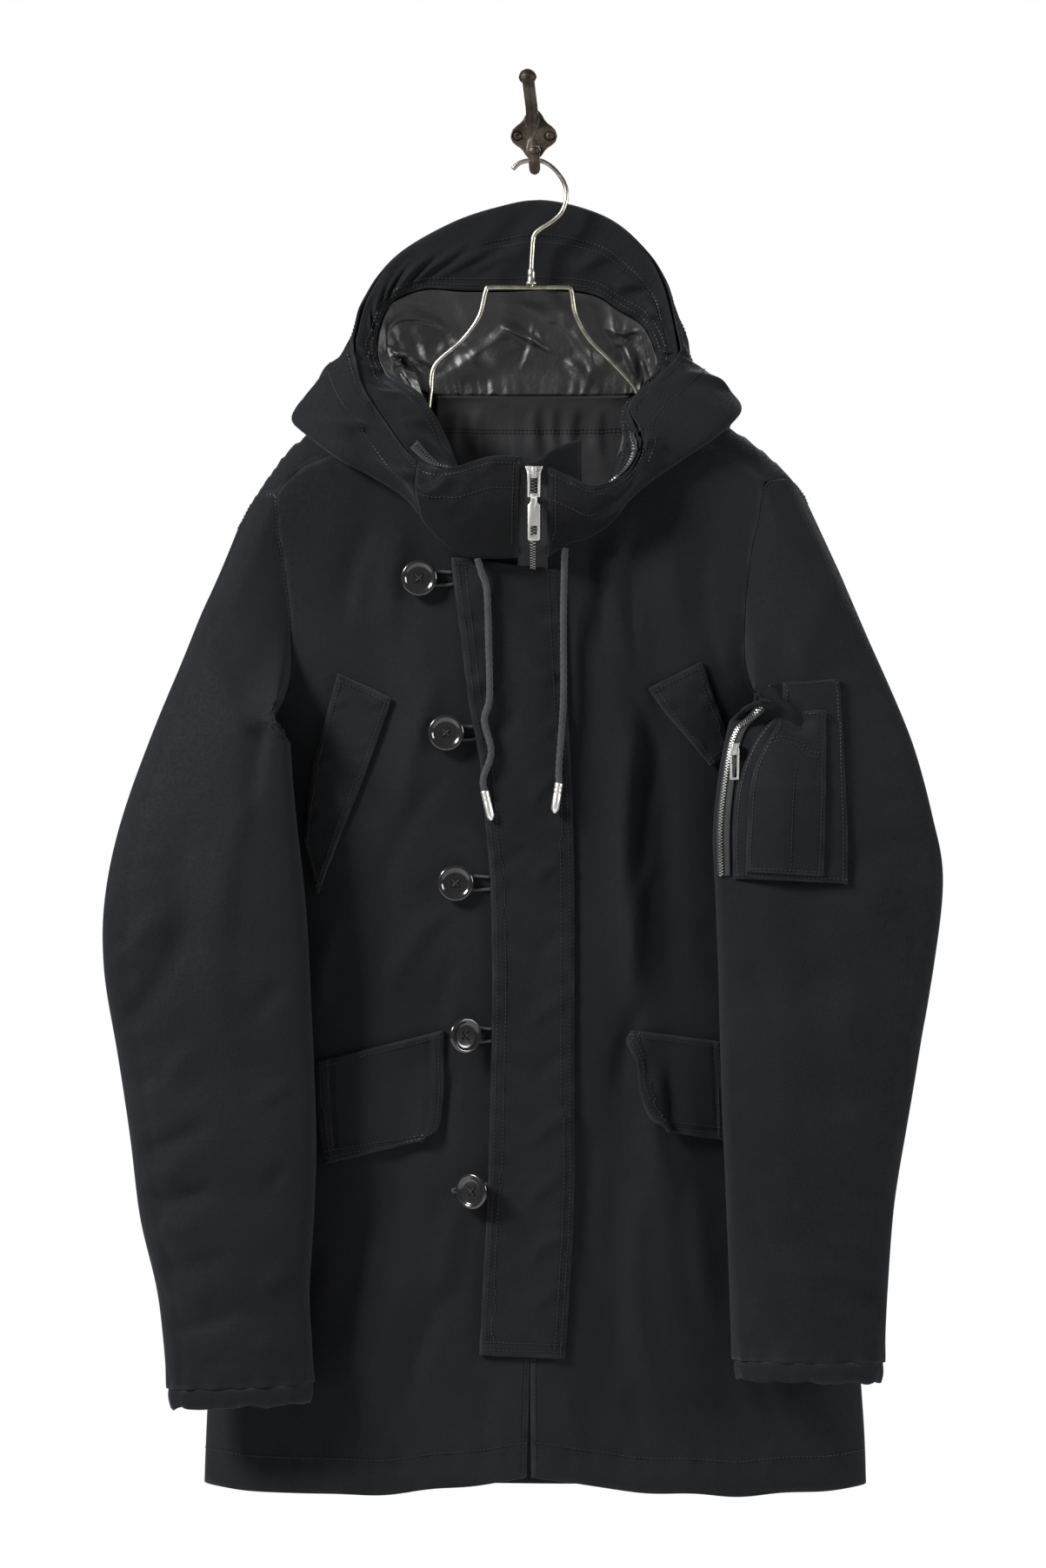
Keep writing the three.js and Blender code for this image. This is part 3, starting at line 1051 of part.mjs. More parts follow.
const pocket = patchGrid(onSleeve, finer(sleevePocketRows, 9), 8, (across, down) => (
  LAY_GAP + POCKET_PUFF * Math.sin(Math.PI * across) * Math.sqrt(down)), DOUBLE_WALL);
addPiece('sleeve_pocket', wall(pocket.grid, pocket.normals, DOUBLE_WALL), twill);
addPiece('sleeve_pen_panel', patch(frontOf(pocket.grid, false), finer(penPanelRows, 6), 6,
  1.1, PANEL_WALL), twill);
const sleeveTape = patchGrid(onSleeve, finer(sleeveZipRows, 10), 3, LAY_GAP, TAPE_WALL);
addPiece('sleeve_zip_tape', wall(sleeveTape.grid, sleeveTape.normals, TAPE_WALL), braid);

// A flat metal piece cut from an outline in the wall's plane, its back at the given depth
function plateOf(outline, thickness, place, holes = []) {
  const shape = new THREE.Shape(outline.map(([x, z]) => new THREE.Vector2(x, z)));
  for (const hole of holes) {
    shape.holes.push(new THREE.Path(hole.map(([x, z]) => new THREE.Vector2(x, z))));
  }
  return new THREE.ExtrudeGeometry(shape, { depth: thickness, bevelEnabled: false })
    .rotateX(Math.PI / 2).translate(...place);
}

// Zip sliders and pulls. A slider carries a lug with a cross hole, and the pull turns in it about X.
const LUG = 3;
const LUG_OUT = 7.4;
const PIN_OUT = 5.2;              // from the slider's back to the pull's pin
const PULL_BAR = 1.6;
const LUG_BORE = 2.8;
const SLIDER_THICK = 3.4;
function zipSlider(place, wide, tall) {
  const body = plateOf([[-wide / 2, 0], [wide / 2, 0], [wide / 2 - 1.5, -tall * 0.6], [2, -tall], [-2, -tall],
    [-wide / 2 + 1.5, -tall * 0.6]], SLIDER_THICK, place);
  const lug = plateOf([[-LUG / 2, -0.5], [LUG / 2, -0.5], [LUG / 2, -tall + 1], [-LUG / 2, -tall + 1]],
    LUG_OUT, place);
  const bore = new THREE.BoxGeometry(LUG * 2, LUG_BORE, LUG_BORE)
    .translate(place[0], place[1] - PIN_OUT, place[2] - tall / 2);
  return fromSolid(toSolid(body).add(toSolid(lug)).subtract(toSolid(bore)));
}

function frame(wide, tall, bar, thickness, place) {
  const [x, z] = [wide / 2, tall];
  return plateOf([[-x, 0], [x, 0], [x, -z], [-x, -z]], thickness, place,
    [[[-x + bar, -bar], [-x + bar, -z + bar], [x - bar, -z + bar], [x - bar, -bar]]]);
}

const SLIDER = { x: -0.3, y: -104.5, z: -267, wide: 13.3, tall: 9 };
addPiece('zip_slider', zipSlider([SLIDER.x, SLIDER.y, SLIDER.z], SLIDER.wide, SLIDER.tall), nickel);
const LINK_PIN_Z = SLIDER.z - SLIDER.tall / 2;
const LINK_Y = SLIDER.y - PIN_OUT + PULL_BAR / 2;
const LINK_TALL = 20;
addPiece('zip_pull_link', frame(9.6, LINK_TALL, PULL_BAR, PULL_BAR,
  [SLIDER.x, LINK_Y, LINK_PIN_Z + PULL_BAR / 2]), nickel);

// The pull tab has a barrel at its top round the link's lower bar, and a window near its foot.
const TAB_PIN_Z = LINK_PIN_Z - LINK_TALL + PULL_BAR;
const TAB_Y = LINK_Y - PULL_BAR / 2;
const TAB_FOOT = -324;
const TAB_THICK = 2;
const BARREL = 2.2;               // radius round the link's bar
const BARREL_BORE = 1.4;
const BARREL_WIDE = 5;
const barrelAt = (radius, wide) => toSolid(turned([[0, 0], [radius, 0], [radius, wide], [0, wide]], 12,
  new THREE.Vector3(SLIDER.x - wide / 2, TAB_Y, TAB_PIN_Z), new THREE.Vector3(1, 0, 0)));
const tabTop = TAB_PIN_Z - 1.9;
const tabPlate = toSolid(plateOf([[-2.5, tabTop], [2.5, tabTop], [2.5, tabTop - 3], [4.6, tabTop - 5],
  [4.6, TAB_FOOT + 1], [3.6, TAB_FOOT], [-3.6, TAB_FOOT], [-4.6, TAB_FOOT + 1], [-4.6, tabTop - 5],
  [-2.5, tabTop - 3]], TAB_THICK, [SLIDER.x, TAB_Y + TAB_THICK / 2, 0],
[[[-2.6, TAB_FOOT + 11.4], [-2.6, TAB_FOOT + 4], [2.6, TAB_FOOT + 4], [2.6, TAB_FOOT + 11.4]]]));
addPiece('zip_pull_tab', fromSolid(barrelAt(BARREL, BARREL_WIDE).add(tabPlate)
  .subtract(barrelAt(BARREL_BORE, BARREL_WIDE + 3))), nickel);

const onTape = frontOf(sleeveTape.grid, false);
const SLEEVE_SLIDER_WIDE = 8;
const sliderX = 152.5;
const sliderTop = -479;
const sliderBack = Math.min(...[-0.5, -0.25, 0, 0.25, 0.5].map((part) => (
  onTape(sliderX + part * SLEEVE_SLIDER_WIDE, sliderTop - 1).y)));
const SLEEVE_SLIDER = [sliderX, sliderBack - 2 * SEAM_GAP, sliderTop];
addPiece('sleeve_zip_slider', zipSlider(SLEEVE_SLIDER, SLEEVE_SLIDER_WIDE, 9), nickel);
addPiece('sleeve_zip_pull', frame(7, 24, PULL_BAR, PULL_BAR, [SLEEVE_SLIDER[0],
  SLEEVE_SLIDER[1] - PIN_OUT + PULL_BAR / 2, SLEEVE_SLIDER[2] - 4.5 + PULL_BAR / 2]), nickel);

// The hanger: one wire bent to bar and arms, and the hook wire standing on the bar
const hangerArms = [
  [-176, -44, -245], [-150, -44, -232.5], [-125, -44, -225], [-106, -44, -231], [-94, -44, -237],
  [-84, -43.5, -226], [-80.5, -43, -205], [-77, -42, -184], [-55.6, -42, -164], [-42.8, -42, -146],
  [-37.3, -42, -125.5], [-33, -42, -123.4], [-2, -42, -123.4], [25, -42, -123.4], [29, -42, -125.8],
  [32.4, -42, -144.4], [43.2, -42, -164], [62, -42, -183], [79, -43, -203], [86, -43.5, -224],
  [96, -44, -236], [108, -44, -232], [128, -44, -228], [150, -44, -237.5], [166, -44, -249],
];
const hangerHook = [
  [-16.4, -38, -30.1], [-11, -38, -25.6], [-4.2, -38, -23.9], [5.3, -38, -23.9], [14.2, -38, -28.7],
  [21.6, -39, -37.6], [25, -40, -45.9], [25, -41, -54.8], [21.6, -42, -64.5], [14.1, -42, -71.9],
  [4.6, -42, -78], [-0.1, -42, -83.4], [-1.4, -42, -95.6], [-2.1, -42, -109], [-2.1, -42, -123.4],
];
addPiece('hanger', fromSolid(toSolid(tube(hangerArms, WIRE, 46)).add(toSolid(tube(hangerHook, WIRE, 22)))),
  wireBrass);
const FERRULE_BORE = WIRE / 2 + SEAM_GAP;
addPiece('hanger_ferrule', turned([[FERRULE_BORE, 0], [4, 0], [4.4, 2], [3.1, 3], [3.1, 9], [2.6, 12],
  [FERRULE_BORE, 12.5], [FERRULE_BORE, 0]], 12, new THREE.Vector3(-2.1, -42, -121.3),
new THREE.Vector3(0, 0, 1)), wireBrass);

// The cast wall hook: a plate with four lobes, an upper arm with a knob and a lower prong turned up
const PLATE_THICK = 6;
const PLATE_HALF = 18.5;
const PLATE_TOP = 21.6;
const PLATE_FOOT = 18.8;
const SCREW_OUT = 12.6;
const LOBE_CUT = 0.13;            // how far in the plate's edge goes between its lobes
const ARM = 10;
const PRONG = 9;
const PLATE_CORNERS = 28;
const plateOutline = Array.from({ length: PLATE_CORNERS }, (unused, index) => {
  const turn = (2 * Math.PI * index) / PLATE_CORNERS;
  const tall = Math.sin(turn) > 0 ? PLATE_TOP : PLATE_FOOT;
  const lobe = 1 - LOBE_CUT + LOBE_CUT * Math.cos(4 * turn);
  return [Math.cos(turn) * PLATE_HALF * lobe, Math.sin(turn) * tall * lobe];
});
const upperArm = [[-1.4, -3, 8], [-1.6, -12, 19], [-3, -26, 29], [-4.6, -43, 39.4]];
const lowerProng = [[-0.6, -3, -4], [0, -12, -17], [0.4, -26, -27.8], [0.6, -38, -30.1], [0.4, -46, -27],
  [0, -50.5, -20]];
const KNOB = [[0, -3], [4, -3], [7.4, 0], [6.6, 3.4], [3.6, 6.4], [0, 7.2]];
const PRONG_KNOB = [[0, -2], [4, -2], [5.6, 0.6], [4, 4], [0, 5]];
const screwHole = (x) => turned([[0, 0], [2.3, 0], [2.3, 3.2], [3.8, 4.4], [3.8, 8], [0, 8]], 12,
  new THREE.Vector3(x, 0.5, 0), new THREE.Vector3(0, -1, 0));
addPiece('wall_hook', fromSolid(toSolid(plateOf(plateOutline, PLATE_THICK, [0, 0, 0]))
  .add(toSolid(tube(upperArm, ARM, 8))).add(toSolid(tube(lowerProng, PRONG, 12)))
  .add(toSolid(turned(KNOB, 10, new THREE.Vector3(-4.8, -44, 40), new THREE.Vector3(-0.1, -0.75, 0.6))))
  .add(toSolid(turned(PRONG_KNOB, 10, new THREE.Vector3(0, -51, -18.5), new THREE.Vector3(0, -0.35, 0.9))))
  .subtract(toSolid(screwHole(-SCREW_OUT))).subtract(toSolid(screwHole(SCREW_OUT)))
  .subtract(toSolid(new THREE.BoxGeometry(60, 10, 60).translate(0, 5, 0)))), iron);

function screw(x) {
  const body = toSolid(turned([[0, 0], [1.9, 0], [1.9, 2.8], [3.4, 4.2], [3.4, 6], [2.2, 7.2], [0, 7.6]], 12,
    new THREE.Vector3(x, -0.2, 0), new THREE.Vector3(0, -1, 0)));
  const slot = new THREE.BoxGeometry(4, 2, 0.9).translate(x, -8, 0);
  const cross = new THREE.BoxGeometry(0.9, 2, 4).translate(x, -8, 0);
  return fromSolid(body.subtract(toSolid(slot)).subtract(toSolid(cross)));
}
addPiece('screw_right', screw(-SCREW_OUT), iron);
addPiece('screw_left', screw(SCREW_OUT), iron);

export default root;
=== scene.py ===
"""The looks of a black hooded parka on a wire hanger, hung from a cast double hook."""
import json
import math

import bpy
import numpy as np
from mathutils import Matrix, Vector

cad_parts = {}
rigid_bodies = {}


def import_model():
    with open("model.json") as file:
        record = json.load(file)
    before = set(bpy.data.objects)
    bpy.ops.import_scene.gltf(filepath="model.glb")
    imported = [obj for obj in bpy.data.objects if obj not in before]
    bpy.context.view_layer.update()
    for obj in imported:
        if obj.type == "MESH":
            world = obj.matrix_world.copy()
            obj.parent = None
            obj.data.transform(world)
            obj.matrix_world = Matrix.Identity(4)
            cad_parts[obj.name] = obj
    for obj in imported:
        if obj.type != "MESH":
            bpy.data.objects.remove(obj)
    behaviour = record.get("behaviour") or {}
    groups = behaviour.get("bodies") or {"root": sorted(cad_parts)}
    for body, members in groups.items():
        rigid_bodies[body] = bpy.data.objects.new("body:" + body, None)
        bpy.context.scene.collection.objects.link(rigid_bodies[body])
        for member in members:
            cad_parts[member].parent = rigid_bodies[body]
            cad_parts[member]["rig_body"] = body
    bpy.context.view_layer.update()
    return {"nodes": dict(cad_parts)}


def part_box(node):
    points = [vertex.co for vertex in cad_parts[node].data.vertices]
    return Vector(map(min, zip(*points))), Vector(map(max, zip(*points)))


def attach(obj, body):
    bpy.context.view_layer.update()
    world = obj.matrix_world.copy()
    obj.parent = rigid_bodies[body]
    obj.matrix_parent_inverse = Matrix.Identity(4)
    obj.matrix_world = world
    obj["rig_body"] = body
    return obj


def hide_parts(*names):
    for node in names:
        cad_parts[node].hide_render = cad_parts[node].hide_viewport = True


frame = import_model()
nodes = frame["nodes"]

# Camera and studio
# The lens stands level with the middle of the coat, a long way off, so the sleeves don't spread.
# Two large soft lamps and a white surround light it, over a plain pale floor.
eye_data = bpy.data.cameras.new("eye")
eye_data.lens = 104.84
eye_data.sensor_width = 36
eye = bpy.data.objects.new("eye", eye_data)
eye.location = (-0.00856, -3.6, -0.51007)
eye.rotation_euler = (math.radians(90), 0, 0)
bpy.context.scene.collection.objects.link(eye)
bpy.context.scene.camera = eye
bpy.context.scene.view_settings.view_transform = "Standard"

surround = bpy.data.worlds.new("surround")
bpy.context.scene.world = surround
surround.use_nodes = True
sky = surround.node_tree
for node in list(sky.nodes):
    sky.nodes.remove(node)
sky_out = sky.nodes.new("ShaderNodeOutputWorld")
sky_mix = sky.nodes.new("ShaderNodeMixShader")
sky_path = sky.nodes.new("ShaderNodeLightPath")
sky_soft = sky.nodes.new("ShaderNodeBackground")
sky_soft.inputs["Color"].default_value = (1, 1, 1, 1)
sky_soft.inputs["Strength"].default_value = 0.13
sky_seen = sky.nodes.new("ShaderNodeBackground")
sky_seen.inputs["Color"].default_value = (1, 1, 1, 1)
sky_seen.inputs["Strength"].default_value = 1.0
sky.links.new(sky_path.outputs["Is Camera Ray"], sky_mix.inputs[0])
sky.links.new(sky_soft.outputs[0], sky_mix.inputs[1])
sky.links.new(sky_seen.outputs[0], sky_mix.inputs[2])
sky.links.new(sky_mix.outputs[0], sky_out.inputs["Surface"])


def lamp(name, place, aim, size, power):
    """A square lamp at a place in metres, turned so that its face looks at the aim."""
    data = bpy.data.lights.new(name, "AREA")
    data.size = size
    data.energy = power
    made = bpy.data.objects.new(name, data)
    away = np.array(place, float) - np.array(aim, float)
    made.location = place
    made.rotation_euler = (math.atan2(math.hypot(away[0], away[1]), away[2]), 0,
                           math.atan2(away[0], -away[1]))
    bpy.context.scene.collection.objects.link(made)


lamp("lamp_left", (-2.7, -1.7, 1.5), (0, -0.06, -0.5), 0.9, 250)
lamp("lamp_right", (3.1, -1.3, 0.2), (0, -0.06, -0.6), 1.2, 72)
lamp("lamp_back", (0.6, 2.4, 1.2), (0, -0.06, -0.5), 2.0, 70)

floor_data = bpy.data.meshes.new("floor")
FLOOR = -1.62
floor_data.from_pydata([(-4, -4, FLOOR), (4, -4, FLOOR), (4, 2.6, FLOOR), (-4, 2.6, FLOOR)], [],
                       [(0, 1, 2, 3)])
floor = bpy.data.objects.new("floor", floor_data)
bpy.context.scene.collection.objects.link(floor)
floor_look = bpy.data.materials.new("floor_paint")
floor_look.use_nodes = True
floor_shader = floor_look.node_tree.nodes["Principled BSDF"]
floor_shader.inputs["Base Color"].default_value = (0.8, 0.8, 0.79, 1)
floor_shader.inputs["Roughness"].default_value = 0.9
floor_data.materials.append(floor_look)

# Drawcords
# Two braided cotton cords come out of eyelets under the collar and hang straight, with a slight wave.
# Each ends in a crimped metal tube.
CORD_WIDE = 5.4
cord_routes = {
    "right": [[-43.5, -91, -337], [-40.5, -89, -347], [-36.3, -87, -362], [-35, -87, -403],
              [-34.3, -87, -443], [-38.3, -87, -461], [-33, -87, -485], [-39, -87, -505],
              [-38.3, -87, -514.7]],
    "left": [[23.8, -91, -329.4], [23.2, -89, -344], [22.5, -87, -383], [22.5, -87, -445],
             [19.2, -87, -495], [19.2, -87, -508.7]],
}
cord_tips = {"right": [-33, -87, -537.5], "left": [15.8, -87, -531.5]}


def bend(part, before, low, high, after):
    """The cubic from low to high whose slope at each is half the step between its two neighbours."""
    return ((2 * part ** 3 - 3 * part ** 2 + 1) * low
            + (part ** 3 - 2 * part ** 2 + part) * (high - before) / 2
            + (3 * part ** 2 - 2 * part ** 3) * high + (part ** 3 - part ** 2) * (after - low) / 2)


def rows_at(rows, place):
    """Reads a table between its rows, along the bend through the rows about each place."""
    rows = np.asarray(rows, float)
    last = len(rows) - 1
    place = np.asarray(place, float)
    index = np.clip(np.floor(place).astype(int), 0, last - 1)
    part = (place - index)[..., None]
    before, low = rows[np.maximum(index - 1, 0)], rows[index]
    high, after = rows[index + 1], rows[np.minimum(index + 2, last)]
    return bend(part, before, low, high, after)


def even(points, step):
    """Points a step apart along the line through the given ones."""
    fine = rows_at(points, np.linspace(0, len(points) - 1, 60 * len(points)))
    run = np.concatenate([[0], np.cumsum(np.linalg.norm(np.diff(fine, axis=0), axis=1))])
    at = np.linspace(0, run[-1], max(int(run[-1] / step), 2) + 1)
    return np.stack([np.interp(at, run, fine[:, axis]) for axis in range(3)], axis=1)


def mesh_piece(name, points, faces, corners=None, material=None, edge=None):
    """An object from points in millimetres and four-sided faces. Its volume is counted from the faces, and
    they are turned where it is below nothing, so they point outwards."""
    a, b, c, d = (points[faces[:, k]] for k in range(4))
    volume = (a * np.cross(b, c)).sum() + (a * np.cross(c, d)).sum()
    if volume < 0:
        faces = faces[:, ::-1]
        corners = None if corners is None else corners[:, ::-1]
    data = bpy.data.meshes.new(name)
    data.from_pydata((points / 1000).tolist(), [], faces.tolist())
    if corners is not None:
        layer = data.uv_layers.new(name="cut")
        layer.data.foreach_set("uv", (corners / 1000).astype(np.float32).ravel())
    if edge is not None:
        data.attributes.new("edge", "FLOAT", "POINT").data.foreach_set("value", edge.astype(np.float32))
    data.polygons.foreach_set("use_smooth", np.ones(len(faces), bool))
    if material:
        data.materials.append(material)
    data.update()
    made = bpy.data.objects.new(name, data)
    bpy.context.scene.collection.objects.link(made)
    return made


def frames_along(path):
    """Two directions square to a path at each of its points, the first as near to the front as it can be."""
    ahead = np.gradient(path, axis=0)
    ahead /= np.linalg.norm(ahead, axis=1, keepdims=True)
    front = np.array([0.02, -1, 0.05]) - ahead * (ahead @ np.array([0.02, -1, 0.05]))[:, None]
    front /= np.linalg.norm(front, axis=1, keepdims=True)
    return ahead, front, np.cross(ahead, front)


def closed_tube(name, rings, start, end, material, corners=None):
    """A mesh from rings of points. The first ring is closed by faces that meet at the start point, and the
    last by faces that meet at the end point."""
    count, sides = rings.shape[:2]
    row, column = np.meshgrid(np.arange(count - 1), np.arange(sides), indexing="ij")
    at = lambda r, c: r * sides + c % sides
    faces = np.stack([at(row, column), at(row, column + 1), at(row + 1, column + 1), at(row + 1, column)], -1)
    pairs = np.arange(0, sides, 2)
    low, high, top = count * sides, count * sides + 1, (count - 1) * sides
    caps = np.concatenate([
        np.stack([low + 0 * pairs, (pairs + 2) % sides, pairs + 1, pairs], -1),
        np.stack([high + 0 * pairs, top + pairs, top + pairs + 1, top + (pairs + 2) % sides], -1)])
    points = np.concatenate([rings.reshape(-1, 3), [start], [end]])
    if corners is not None:
        corners = np.concatenate([corners.reshape(-1, 4, 2), np.zeros((len(caps), 4, 2))])
    return mesh_piece(name, points, np.concatenate([faces.reshape(-1, 4), caps]), corners, material)


def round_bar(name, path, radius, sides, material):
    """A bar along a path: a ring of points round each path point, and its ends drawn in to a small ring
    that is closed. The radius is a number, or a grid of one for each ring and side."""
    ahead, front, side = frames_along(path)
    turn = 2 * np.pi * np.arange(sides) / sides
    radius = np.broadcast_to(np.asarray(radius, float), (len(path), sides))
    ring = front[:, None] * np.cos(turn)[None, :, None] + side[:, None] * np.sin(turn)[None, :, None]
    body = path[:, None] + ring * radius[..., None]
    size = radius.mean()
    first = path[0] - ahead[0] * size * 0.25 + ring[0] * size * 0.55
    last = path[-1] + ahead[-1] * size * 0.25 + ring[-1] * size * 0.55
    rings = np.concatenate([first[None], body, last[None]])
    run = np.concatenate([[0], np.cumsum(np.linalg.norm(np.diff(rings[:, 0], axis=0), axis=1))])
    around = size * 2 * np.pi / sides
    row, column = np.meshgrid(np.arange(len(rings) - 1), np.arange(sides), indexing="ij")
    corners = np.stack([np.stack([(column + c) * around, run[row + r]], -1)
                        for r, c in ((0, 0), (0, 1), (1, 1), (1, 0))], -2)
    return closed_tube(name, rings, first.mean(0), last.mean(0), material, corners)


def new_group(name, inputs, outputs):
    """A shader node group with the named inputs and outputs, each given as (name, socket, value)."""
    tree = bpy.data.node_groups.new(name, "ShaderNodeTree")
    for label, kind, value in inputs:
        made = tree.interface.new_socket(label, in_out="INPUT", socket_type=kind)
        if value is not None:
            made.default_value = value
    for label, kind in outputs:
        tree.interface.new_socket(label, in_out="OUTPUT", socket_type=kind)
    return tree, tree.nodes.new("NodeGroupInput"), tree.nodes.new("NodeGroupOutput")


def maths(tree, action, first, second=None, third=None):
    """A Math node fed by sockets or by plain numbers."""
    made = tree.nodes.new("ShaderNodeMath")
    made.operation = action
    for slot, value in enumerate((first, second, third)):
        if isinstance(value, (int, float)):
            made.inputs[slot].default_value = value
        elif value is not None:
            tree.links.new(value, made.inputs[slot])
    return made.outputs[0]


def noise(tree, vector, scale, detail=2.0, rough=0.5):
    """The value of a Noise node at a vector."""
    made = tree.nodes.new("ShaderNodeTexNoise")
    made.inputs["Scale"].default_value = scale
    made.inputs["Detail"].default_value = detail
    made.inputs["Roughness"].default_value = rough
    tree.links.new(vector, made.inputs["Vector"])
    return made.outputs["Fac"]


def ramp(tree, value, low, high, out_low=0.0, out_high=1.0):
    """A value carried in a straight line from one range to another, and held at its ends."""
    made = tree.nodes.new("ShaderNodeMapRange")
    for label, number in (("From Min", low), ("From Max", high), ("To Min", out_low), ("To Max", out_high)):
        made.inputs[label].default_value = number
    tree.links.new(value, made.inputs["Value"])
    return made.outputs["Result"]


def blend_colour(tree, part, first, second):
    """A colour that goes from the first to the second as the part goes from 0 to 1."""
    made = tree.nodes.new("ShaderNodeMix")
    made.data_type = "RGBA"
    for slot, value in ((6, first), (7, second)):
        if isinstance(value, tuple):
            made.inputs[slot].default_value = (*value, 1)
        else:
            tree.links.new(value, made.inputs[slot])
    tree.links.new(part, made.inputs[0])
    return made.outputs[2]


def coords(tree, kind):
    """A Texture Coordinate node's vector of one kind."""
    return tree.nodes.new("ShaderNodeTexCoord").outputs[kind]


def look(name, slot):
    """A new material with its Principled shader, named for the record's slot that it finishes."""
    made = bpy.data.materials.new(name)
    made.use_nodes = True
    made["slot"] = slot
    return made, made.node_tree, made.node_tree.nodes["Principled BSDF"]


# Dust and rubbing: a soft mottle for the colour and a fine tooth for the surface
mottle, mottle_in, mottle_out = new_group(
    "mottle", [("Vector", "NodeSocketVector", None), ("Coarse", "NodeSocketFloat", 9.0),
               ("Fine", "NodeSocketFloat", 160.0)],
    [("Cloud", "NodeSocketFloat"), ("Tooth", "NodeSocketFloat")])
for scale, detail, out in (("Coarse", 3.0, "Cloud"), ("Fine", 2.0, "Tooth")):
    cloud = mottle.nodes.new("ShaderNodeTexNoise")
    cloud.inputs["Detail"].default_value = detail
    mottle.links.new(mottle_in.outputs["Vector"], cloud.inputs["Vector"])
    mottle.links.new(mottle_in.outputs[scale], cloud.inputs["Scale"])
    mottle.links.new(cloud.outputs["Fac"], mottle_out.inputs[out])


def add_mottle(tree, vector, coarse, fine):
    """The mottle's cloud and tooth in a material, at its own two scales."""
    made = tree.nodes.new("ShaderNodeGroup")
    made.node_tree = mottle
    made.inputs["Coarse"].default_value = coarse
    made.inputs["Fine"].default_value = fine
    tree.links.new(vector, made.inputs["Vector"])
    return made.outputs["Cloud"], made.outputs["Tooth"]


def bump(tree, shader, height, distance):
    """Lets a height from 0 to 1 tilt the surface as a relief of that distance in metres would."""
    made = tree.nodes.new("ShaderNodeBump")
    made.inputs["Distance"].default_value = distance
    made.inputs["Strength"].default_value = 1.0
    tree.links.new(height, made.inputs["Height"])
    tree.links.new(made.outputs[0], shader.inputs["Normal"])


def mottled(name, slot, grain, dark, light, rough=None, share=None):
    """A look whose colour goes with the mottle's cloud from a dark tone to a light one, and whose roughness
    goes with its tooth between two values. The share is the part of the cloud's range that is used."""
    made, tree, shader = look(name, slot)
    cloud, tooth = add_mottle(tree, coords(tree, "Object"), *grain)
    part = ramp(tree, cloud, *share) if share else cloud
    tree.links.new(blend_colour(tree, part, dark, light), shader.inputs["Base Color"])
    if rough:
        tree.links.new(ramp(tree, tooth, 0.3, 0.7, *rough), shader.inputs["Roughness"])
    return made, tree, shader, cloud, tooth


cotton_braid, tree, shader, _, tooth = mottled(
    "cotton_braid", "braid", (60, 900), (0.012, 0.0125, 0.014), (0.032, 0.033, 0.036), (0.72, 0.92))
shader.inputs["Sheen Weight"].default_value = 0.3
shader.inputs["Sheen Roughness"].default_value = 0.4
bump(tree, shader, tooth, 0.0003)

plated, tree, shader, _, tooth = mottled(
    "plated_metal", "nickel", (120, 1500), (0.66, 0.65, 0.62), (0.86, 0.85, 0.83), (0.34, 0.5))
shader.inputs["Metallic"].default_value = 1
bump(tree, shader, tooth, 0.00004)

tips = {}
for side, route in cord_routes.items():
    path = even(route, 0.9)
    turn = 2 * np.pi * np.arange(20) / 20
    run = np.arange(len(path))[:, None] * 0.9
    strand = np.maximum(np.cos(4 * turn + run * 1.15), np.cos(4 * turn - run * 1.15))
    cord = round_bar(f"cord_{side}", path, CORD_WIDE / 2 * (0.92 + 0.08 * strand), 20, cotton_braid)
    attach(cord, "coat")
    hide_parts(f"drawcord_{side}")
    end = np.array(route[-1], float)
    towards = np.array(cord_tips[side], float) - end
    towards /= np.linalg.norm(towards)
    rings = np.array([[0.4, 2.2], [0.6, 2.9], [1.4, 3.2], [4.4, 3.2], [5.0, 2.95], [5.6, 3.2], [8, 3.2],
                      [8.6, 2.95], [9.2, 3.2], [20.4, 3.2], [22.4, 2.6], [23.2, 1.4]])
    line = end + towards * rings[:, :1]
    tip = round_bar(f"tip_{side}", line, np.repeat(rings[:, 1:], 24, 1), 24, plated)
    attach(tip, "coat")
    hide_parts(f"cord_tip_{side}")
    tips[side] = tip
    length = np.linalg.norm(np.diff(path, axis=0), axis=1).sum() / 1000

# Fronts
# Each front is one piece of matt black cotton twill, from the hem to a seam just in front of the shoulder.
# They hang from the shoulders in soft upright folds, and are sewn to the back at the sides.
CLOTH = 2.0
SEAM = 0.3
LAY = 0.9
CENTRE = -3.0
SEAM_DROP = 26.0
HEM_SAG = 9.0
shoulder_line = np.array([                          # across, level
    [-232, -312], [-220, -291], [-210, -275], [-193, -252], [-178, -238], [-140, -222], [-98, -208],
    [0, -196], [98, -208], [130, -221], [151, -231], [174, -247], [194, -265], [213, -287],
    [222, -298]], float)
body_levels = np.array([                            # level, half right, half left, side, front, back
    [-190, 420, 400, -42, -72, -25], [-300, 400, 380, -42, -74, -25], [-400, 340, 320, -42, -77, -20],
    [-430, 286, 268, -42, -78, -18], [-455, 246, 230, -41, -78, -16], [-478, 222, 205, -40, -79, -14],
    [-560, 228, 220, -39, -79, -10], [-780, 243, 241, -38, -79, -7], [-1060, 257, 259, -38, -76, -6]], float)
front_folds = np.array([                            # top x, top z, foot x, foot z, wide, out
    [62, -330, 84, -700, 26, -5], [88, -380, 104, -690, 24, 5], [96, -730, 128, -960, 30, -5],
    [62, -720, 66, -1060, 30, 5], [150, -800, 170, -1060, 34, 4], [-92, -360, -84, -560, 28, -4],
    [-76, -600, -100, -900, 28, 4], [-62, -720, -150, -1060, 30, -5],
    [-170, -800, -200, -1060, 34, 4]], float)
